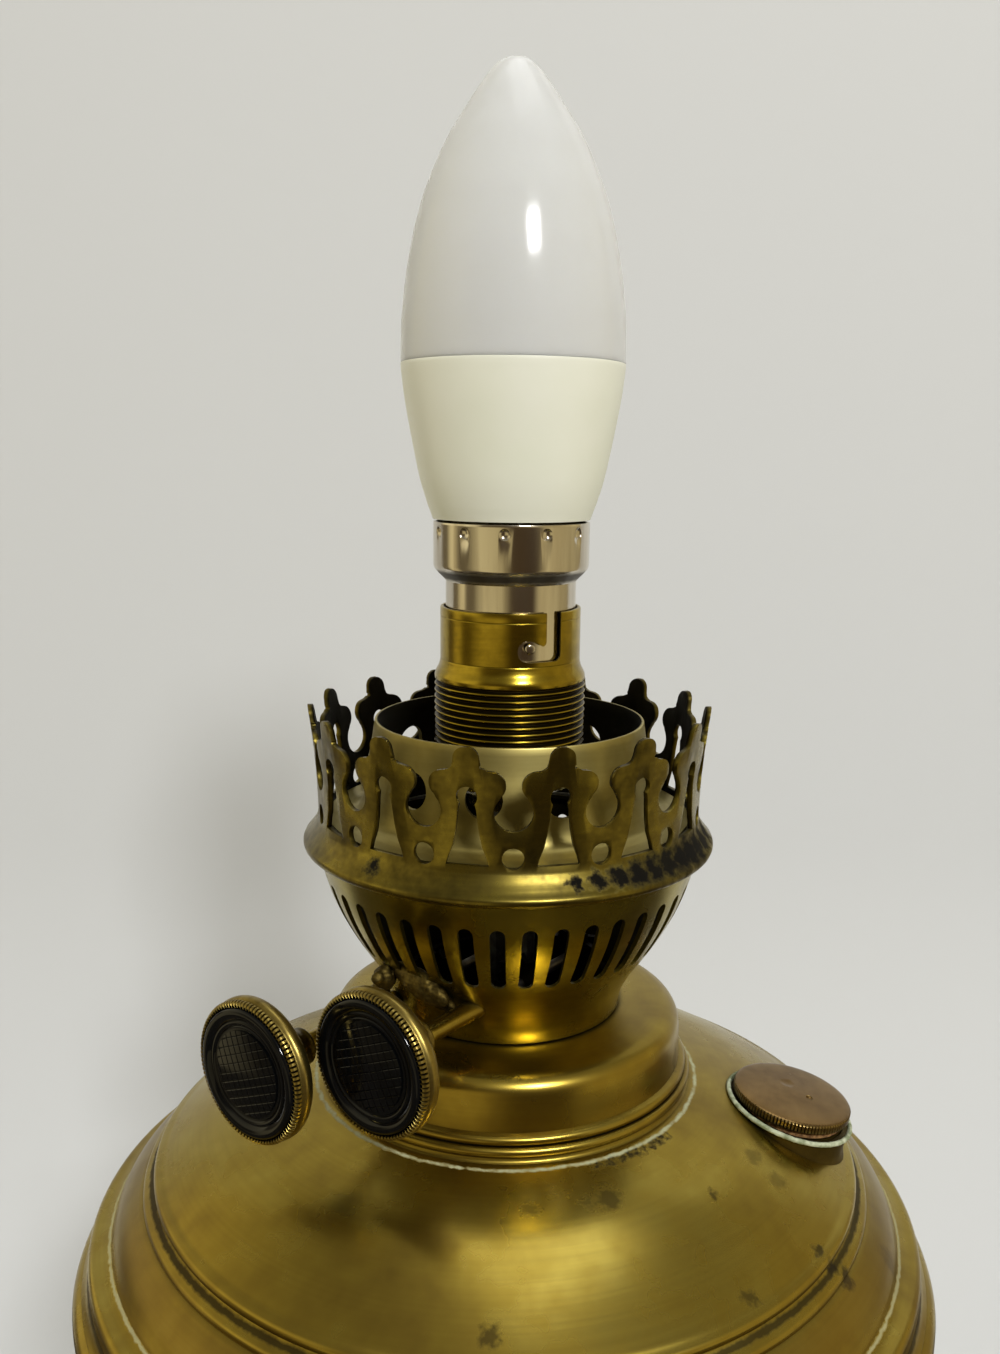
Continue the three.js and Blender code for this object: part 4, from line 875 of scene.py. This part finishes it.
body_curve = flowing([(13.15, 31.15), (13.6, 32.4), (14.14, 33.9), (15.32, 37.9), (16.63, 44.3),
                      (17.75, 50.6), (18.36, 55.6)], 5)
body_back = [(r - 1.1, z) for r, z in reversed(body_curve)]
body_lip = [*arc(18.26, 56.1, 0.1, 0, 90, 3), (17.2, 56.2)]
bulb_body = spun("bulb_shell", lifted(body_curve + body_lip + body_back, TIPS))
dress(bulb_body, "bulb", warm_body, "bulb_body")

skirt_curve = [
    (10.5, 3.9), (10.6, 3.5), *arc(10.4, 3.95, 0.6, -60, 0, 3), (11.0, 5.0), (11.0, 20.2),
    *flowing([(11.0, 20.9), (11.4, 21.4), (12.3, 22.3), (12.95, 23.1), (13.1, 23.8)], 3),
    (13.1, 30.3), *arc(12.95, 30.6, 0.15, 0, 90, 2),
    (12.6, 30.7), (12.6, 24.0), (12.0, 22.9), (10.5, 21.2),
]
skirt = spun("bulb_skirt", lifted(skirt_curve, TIPS), 160)
SKIRT_RADIUS = 13.1
CRIMPS, CRIMP_PHASE = 12, -4.4
for radius, depth, level in ((5.0, 0.16, 28.4), (1.3, 0.5, 29.2)):
    dimple = settle(ball(radius, (0, -(SKIRT_RADIUS + radius - depth), TIPS + level)))
    cut(skirt, [ring_of(dimple, CRIMPS, CRIMP_PHASE)])
settle(skirt, 25)
dress(skirt, "bulb", nickel, "bulb_cap")

pin_shape = [(0, 10.2), (0.85, 10.2), *arc(0.6, 12.55, 0.25, 0, 90, 3), (0, 12.8)]
for label, bearing in (("a", LOCK), ("b", LOCK + 180)):
    pin = spun("pin_" + label, pin_shape, 32)
    pin.rotation_euler = (radians(90), 0, radians(bearing))
    pin.location = mm(0, 0, TIPS + PIN_LEVEL)
    settle(pin)
    dress(pin, "bulb", nickel, "bulb_pin_" + label)

# %% [markdown]
# ## Winders
# Two brass knobs with beaded rims and black pressed inserts, on shafts that lie side by
# side. A knob is turned lying on its back, then stood up and set out along its shaft.

# %% Placing along the shafts
OUT = -37.4
SPREAD = 9.1
SHAFT_RADIUS = 0.9
front_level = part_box("winder_shaft_front")[0][2] / MM + SHAFT_RADIUS - TIPS
rear_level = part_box("winder_shaft_rear")[0][2] / MM + SHAFT_RADIUS - TIPS


def set_out(piece, side, level, reach):
    """Stands a piece made along z up, so that its top points out along the shafts."""
    x, y = at_bearing(OUT, reach, side)
    piece.rotation_euler = (radians(90), 0, radians(OUT))
    piece.location = mm(x, y, TIPS + level)
    return settle(piece)


# %% Knob shape
BEADS = 100


def squeeze_between(piece, count, low, high, inner, by):
    """Draws in the points that lie between beads, which turns a smooth band into a row of beads."""
    def between_beads(x, y, z):
        around = degrees(atan2(y, x)) * count / 360
        return abs(around - round(around)) > 0.3 and low < z < high and hypot(x, y) > inner
    pick_points(piece, between_beads)
    bpy.ops.transform.resize(value=(by, by, by), center_override=(0, 0, (low + high) / 2 * MM))
    bpy.ops.object.mode_set(mode="OBJECT")
    return piece


def knob_shape(name):
    shell = [
        (1.3, -1.9), (10.35, -1.9), (10.35, -0.75), (10.42, -0.5), (10.65, -0.35), (10.95, -0.5),
        (11.15, -0.85), (11.15, -1.3), (10.8, -1.6),
        *flowing([(10.85, -1.7), (11.2, -2.1), (11.3, -2.6), (11.15, -3.3), (10.6, -3.95), (9.8, -4.25)]),
        *flowing([(8.6, -4.3), (7.2, -4.5), (5.8, -5.0), (4.8, -5.9)]),
        *flowing([(4.4, -6.6), (4.0, -7.6), (3.75, -8.2)], 3), (3.5, -8.35), (3.5, -8.7),
        *flowing([(3.6, -8.9), (3.35, -9.8), (2.95, -10.9)], 3),
        *arc(2.55, -11.6, 0.45, 30, -80, 4), (1.3, -12.2),
    ]
    piece = spun(name, shell, BEADS * 4, angle=40)
    return squeeze_between(piece, BEADS, -1.4, -0.3, 10.6, 0.955)


# %% [markdown]
# The buttons are black resin, pressed in a die: a round border, two fine rings, and a
# bulging middle with a net of grooves. The net is a grid whose squares are inset, so that
# grooves are left between them. It is cut round, and its middle is pulled out with
# proportional editing.

# %% Insert shapes
def insert_shape(name):
    rim = [
        (0, -1.6), (10.15, -1.6), (10.15, -0.7), *arc(9.55, -0.62, 0.6, -5, 100, 6),
        *flowing([(9.2, -0.02), (8.8, -0.12), (8.35, -0.4)], 3),
        (8.2, -0.55), (8.05, -0.4), *flowing([(7.8, -0.36), (7.5, -0.46)], 2), (7.35, -0.62), (7.2, -0.48),
        (6.8, -0.5), (0, -0.5),
    ]
    return spun(name, rim, 128, angle=30)


def netted_disc(name, radius=6.7, pitch=1.3, groove=0.12):
    """A bulging disc of small pillows with grooves between them."""
    count = int(2 * radius / pitch) + 3
    clear_selection()
    bpy.ops.mesh.primitive_grid_add(x_subdivisions=count, y_subdivisions=count, size=count * pitch * MM)
    piece = named(name)
    open_mesh(piece)
    bpy.ops.mesh.inset(thickness=groove * MM, depth=groove * MM, use_individual=True)
    select_all()
    bpy.ops.mesh.subdivide(number_cuts=2, smoothness=0.0)
    select_all()
    extrude(0, 0, -0.8)
    close_mesh()
    piece.rotation_euler.z = radians(24)
    settle(piece)
    disc = spun("net_cutter", [(0, -2), (radius, -2), (radius, 2), (0, 2)], 96)
    cut(piece, [disc], "INTERSECT")
    pick_points(piece, lambda x, y, z: hypot(x, y) < 0.6)
    shift(0, 0, 0.45, use_proportional_edit=True, proportional_edit_falloff="SPHERE",
          proportional_size=radius * MM)
    select_all()
    shift(0, 0, -0.55)
    bpy.ops.object.mode_set(mode="OBJECT")
    tops = [point.co.z / MM for point in piece.data.vertices]
    print(name, "bulges from", round(min(tops), 2), "to", round(max(tops), 2), "mm")
    return settle(piece, 50)


# %% Set both winders
BOWL_RADIUS = 21.2
SHAFT_START = -14.3
SHAFT_END_IN_KNOB = 2.3
HUB_LENGTH = 12.7
for label, side, level, reach in (("front", SPREAD, front_level, 45.2), ("rear", -SPREAD, rear_level, 52.5)):
    body = "winder_" + label
    knob = set_out(knob_shape("knob_shell_" + label), side, level, reach)
    dress(knob, body, knob_brass, "knob_" + label)
    # The rear knob's hub is darkened: dirt, and painted shade.
    if label == "rear":
        way = Vector((*at_bearing(OUT, 1), 0))
        second_finish(knob, thread_dirt_and_shade, lambda face: reach - face.center.dot(way) / MM > 5.2)
    insert = set_out(insert_shape("knob_button_" + label), side, level, reach)
    dress(insert, body, black_resin, "knob_insert_" + label)
    net = set_out(netted_disc("knob_net_" + label), side, level, reach)
    dress(net, body, black_resin, "")

    start = sqrt(BOWL_RADIUS ** 2 - SPREAD ** 2)
    length = reach - HUB_LENGTH - start
    sleeve_shape = [
        (1.1, 0), (1.45, 0), (1.65, 0.3), (1.68, 1.2), (1.6, 1.5), (1.62, length - 1.2), (1.68, length - 0.9),
        (1.66, length - 0.2), (1.45, length), (1.1, length),
    ]
    sleeve = set_out(spun("sleeve_" + label, sleeve_shape, 48), side, level, start)
    dress(sleeve, "burner", brass, "winder_sleeve_" + label)
    end = reach - SHAFT_START - SHAFT_END_IN_KNOB
    shaft_shape = [(0, 0), (0.6, 0), (SHAFT_RADIUS, 0.3), (SHAFT_RADIUS, end - 0.3), (0.6, end), (0, end)]
    shaft = set_out(spun("shaft_" + label, shaft_shape, 32), side, level, SHAFT_START)
    dress(shaft, body, steel, "winder_shaft_" + label)

# %% [markdown]
# ## Filler cap
# The cap leans out from the dome on its neck. Its edge is finely knurled, its top is a
# brown, nearly flat disc.

# %% Filler
LEAN = 9.5
FILLER_BEARING = 82.5
FILLER_OUT = 50.5
CAP_RADIUS = 10.25
CAP_HEIGHT = 3.4
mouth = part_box("filler_cap")[1][2] / MM - CAP_HEIGHT - CAP_RADIUS * sin(radians(LEAN))


def lean_out(piece, lean=LEAN, level=mouth):
    """Sets a piece made on the axis in the dome, at this level, so that it leans away from the burner."""
    x, y = at_bearing(FILLER_BEARING, FILLER_OUT)
    piece.rotation_euler = (0, radians(lean), radians(FILLER_BEARING - 90))
    piece.location = mm(x, y, level)
    return settle(piece)


# %% Cap, neck and packing
KNURLS = 107
cap_shape = [
    (0, -3.6), (7.2, -3.6), (7.2, 1.4), (9.7, 1.4), (10.05, 1.6), (10.2, 1.8), (10.2, 2.85), (10.0, 3.1),
    *flowing([(9.6, 3.25), (8.4, 3.42), (5.0, 3.62), (2.0, 3.74), (0, 3.78)], 3),
]
cap = spun("cap_top", cap_shape, KNURLS * 4, angle=45)
squeeze_between(cap, KNURLS, 1.7, 2.9, 10.1, 0.975)
for x, y, radius, depth in ((2.7, -1.3, 0.9, 0.3), (-0.9, 2.2, 5.0, 0.14)):
    cut(cap, [settle(ball(radius, (x, y, 3.7 + radius - depth)))])
lean_out(cap)
dress(cap, "cap", cap_bronze, "filler_cap")
cap_way = Vector((*at_bearing(FILLER_BEARING, sin(radians(LEAN))), cos(radians(LEAN))))
second_finish(cap, cap_edge, lambda face: face.normal.dot(cap_way) < 0.75)

neck = lean_out(spun("cap_neck", [(7.5, 0), (9.2, 0), (9.3, -0.2), (9.3, -9), (7.5, -9)], 96))
dress(neck, "lamp", brass, "filler_neck")
washer = lean_out(spun("cap_packing", [(7.5, 0.3), (9.2, 0.3), (9.3, 0.7), (9.2, 1.1), (7.5, 1.1)], 64))
dress(washer, "cap_washer", cork, "filler_washer")

# %% [markdown]
# The neck is soldered into the dome with a hollow fillet, coloured dark as painted shade
# under the ring. A pale line of verdigris has grown along its upper edge: a thin ring whose
# points are pushed about a little.

# %% Solder and seam of the neck
SEAM_LEAN = 14
SEAM_LEVEL = TIPS - 71.0
fillet_line = flowing([(10.6, 0), (10.6, -1.0), (10.65, -2.4), (10.8, -3.6), (11.3, -5.0)])
fillet = spun("neck_solder", [(9.6, -8), (9.6, 0), *fillet_line, (11.3, -8)], 160)
lean_out(fillet, SEAM_LEAN, SEAM_LEVEL)
# Its dark brass is painted shade beneath the ring.
dress(fillet, "lamp", fillet_shade_brass, "")
verdigris = mottled("verdigris on solder", "#bcc3a8", "#7d8766", 1.6, (0.8, 0.95), 0.1, ior=1.5)
seam = spun("neck_seam", arc(10.85, 0, 0.42, 0, 330, 11), 160)
open_mesh(seam)
bpy.ops.transform.vertex_random(offset=0.08 * MM, uniform=0.0, normal=0.0, seed=3)
close_mesh()
lean_out(seam, SEAM_LEAN, SEAM_LEVEL)
dress(seam, "lamp", verdigris, "")

hole_in_dome = lean_out(spun("neck_way", [(0, -12), (9.4, -12), (9.4, 4), (0, 4)], 64))
settle(cut(font_upper, [hole_in_dome]))

# %% [markdown]
# ## Stand
# Below the photograph's edge: a turned knop and a spun foot with a rolled shoulder, kept
# as plain as such lamps are.

# %% Knop and foot
knop_curve = flowing([(13.3, 0), (14.8, 1.4), (13.8, 3.4), (17.2, 7.4), (19, 10.8), (17.2, 14.4), (12.6, 18),
                      (11.8, 22), (14.6, 26.2), (20.6, 28.6)])
knop_rest = [(21.9, 28.9), (21.9, 30.0), (ROD_HOLE, 30.0), (ROD_HOLE, 0)]
knop = spun("knop", lifted(knop_curve + knop_rest, KNOP_FLOOR), 96)
dress(knop, "lamp", stand_brass, "stem_knop")

foot_curve = [
    (70, 0), (70, 11.2), *arc(68.4, 11.4, 1.6, 0, 90, 5), (66.4, 13.0),
    *flowing([(66.0, 13.2), (63.0, 17.6), (46.5, 24.2), (31.0, 32.2), (19.8, 44.0), (14.0, 55.2),
              (13.1, 60)], 5),
    (ROD_HOLE, 60), (ROD_HOLE, 58.8), (12.0, 58.6), (13.0, 53.0), (18.8, 42.6), (30.0, 31.0),
    (45.5, 23.0), (62.0, 16.4), (64.5, 11.8), (68.8, 10.0), (68.8, 0),
]
foot = spun("foot", lifted(foot_curve, FOOT_FLOOR), 160)
BUSH_LEVEL = FOOT_FLOOR + 6.5
cut(foot, [drill("bush_hole", 3.3, 60, 74, BUSH_LEVEL)])
settle(foot)
dress(foot, "lamp", stand_brass, "foot_shell")


# %% [markdown]
# ### Bush
# A rubber bush for the lead sits in the back of the foot. It is spun standing up and laid
# down to point backwards.

# %% Cable bush
bush_shape = [
    (2.2, 0.0), (2.95, 0.0), (3.0, 6.9), *arc(3.9, 7.4, 0.35, -90, 0, 3), *arc(3.6, 8.0, 0.6, 0, 90, 4),
    (2.6, 8.6), (2.2, 8.3),
]
bush = spun("lead_bush", bush_shape, 48)
bush.rotation_euler.x = radians(-90)
bush.location = (0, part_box("cable_bush")[0][1], BUSH_LEVEL * MM)
settle(bush)
dress(bush, "lamp", rubber, "cable_bush")

# %% [markdown]
# ## Casting on the bowl
# A small rough casting holds the two sleeves and runs up on the bowl. It starts as a few
# lumps, which a remesh melts into one body, and is roughened as sand leaves it.

# %% Casting
def lump(side, level, out, size, tilt=0):
    """A stretched ball at a place given along and beside the shafts."""
    made = ball(1, (*at_bearing(OUT, out, side), TIPS + level))
    made.scale = size
    made.rotation_euler = (0, radians(tilt), radians(OUT))
    return made


strut = lump(2.2, front_level + 3.9, 25.4, (6.0, 1.7, 2.3), 16)
ridge = lump(3.4, front_level + 2.6, 24.2, (5.2, 1.6, 1.6), 20)
boss = lump(-5.0, front_level + 3.4, 26.2, (1.9, 1.9, 2.1))
rivet = lump(-4.8, front_level + 3.9, 28.0, (1.1, 1.1, 1.1))
lug = lump(-8.2, rear_level + 2.6, 24.8, (2.8, 2.2, 2.3), -30)
take(strut)
for piece in (ridge, boss, rivet, lug):
    piece.select_set(True)
bpy.ops.object.join()
casting = settle(named("sleeve_casting"))
alter(casting, "REMESH", mode="VOXEL", voxel_size=0.22 * MM)
rough_sand = bpy.data.textures.new("sand", "CLOUDS")
rough_sand.noise_scale = 1.1 * MM
alter(casting, "DISPLACE", texture=rough_sand, texture_coords="GLOBAL", strength=0.5 * MM)
settle(casting, 60)
dress(casting, "burner", cast_brass, "winder_bracket")

# %% [markdown]
# ## Contact springs
# Under each contact of the lampholder is a coil of steel wire. It is a ring of wire,
# screwed up its axis. A real one shortens as the bulb is pushed down.

# %% Contact springs
WIRE = 0.22
TURNS = 5
for label in ("a", "b"):
    low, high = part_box("plunger_spring_" + label)
    height = (high[2] - low[2]) / MM
    coil = trace("contact_spring_" + label, arc(1.56, WIRE, WIRE, 0, 360, 8))
    close_mesh(merge=True)
    rise = (height - 2 * WIRE) / TURNS * MM
    alter(coil, "SCREW", screw_offset=rise, iterations=TURNS, steps=24, render_steps=24)
    open_mesh(coil)
    bpy.ops.mesh.fill_holes(sides=0)
    close_mesh()
    coil.location = ((low[0] + high[0]) / 2, (low[1] + high[1]) / 2, low[2])
    settle(coil)
    dress(coil, "burner", steel, "plunger_spring_" + label)
    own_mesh(coil)

# %% [markdown]
# ## Pieces that stay as the CAD has them
# Most of what is hidden keeps its CAD shape, and its finish goes into the node's slot.

# %% Hidden pieces
kept_nodes = {
    felt: "felt_pad",
    steel: "foot_plate",
    smoked_brass: "wick_wheel_front_outer wick_wheel_front_inner wick_wheel_rear_outer wick_wheel_rear_inner "
                  "shaft_bearing burner_base",
    iron: "foot_ballast",
    zinc: "tie_rod tie_nut_lower tie_nut_upper tie_washer_lower tie_washer_upper "
          "nipple nipple_nut_upper nipple_nut_lower",
    bowl_brass: "lampholder_base",
    porcelain: "contact_block",
    nickel: "contact_plunger_a contact_plunger_b",
    black_resin: "bulb_insulator",
    solder: "bulb_pad_a bulb_pad_b",
    board: "led_board driver_board",
}
for made, names in kept_nodes.items():
    for name in names.split():
        for holder_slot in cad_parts[name].material_slots:
            holder_slot.material = made
    print("kept with", made.name, names)
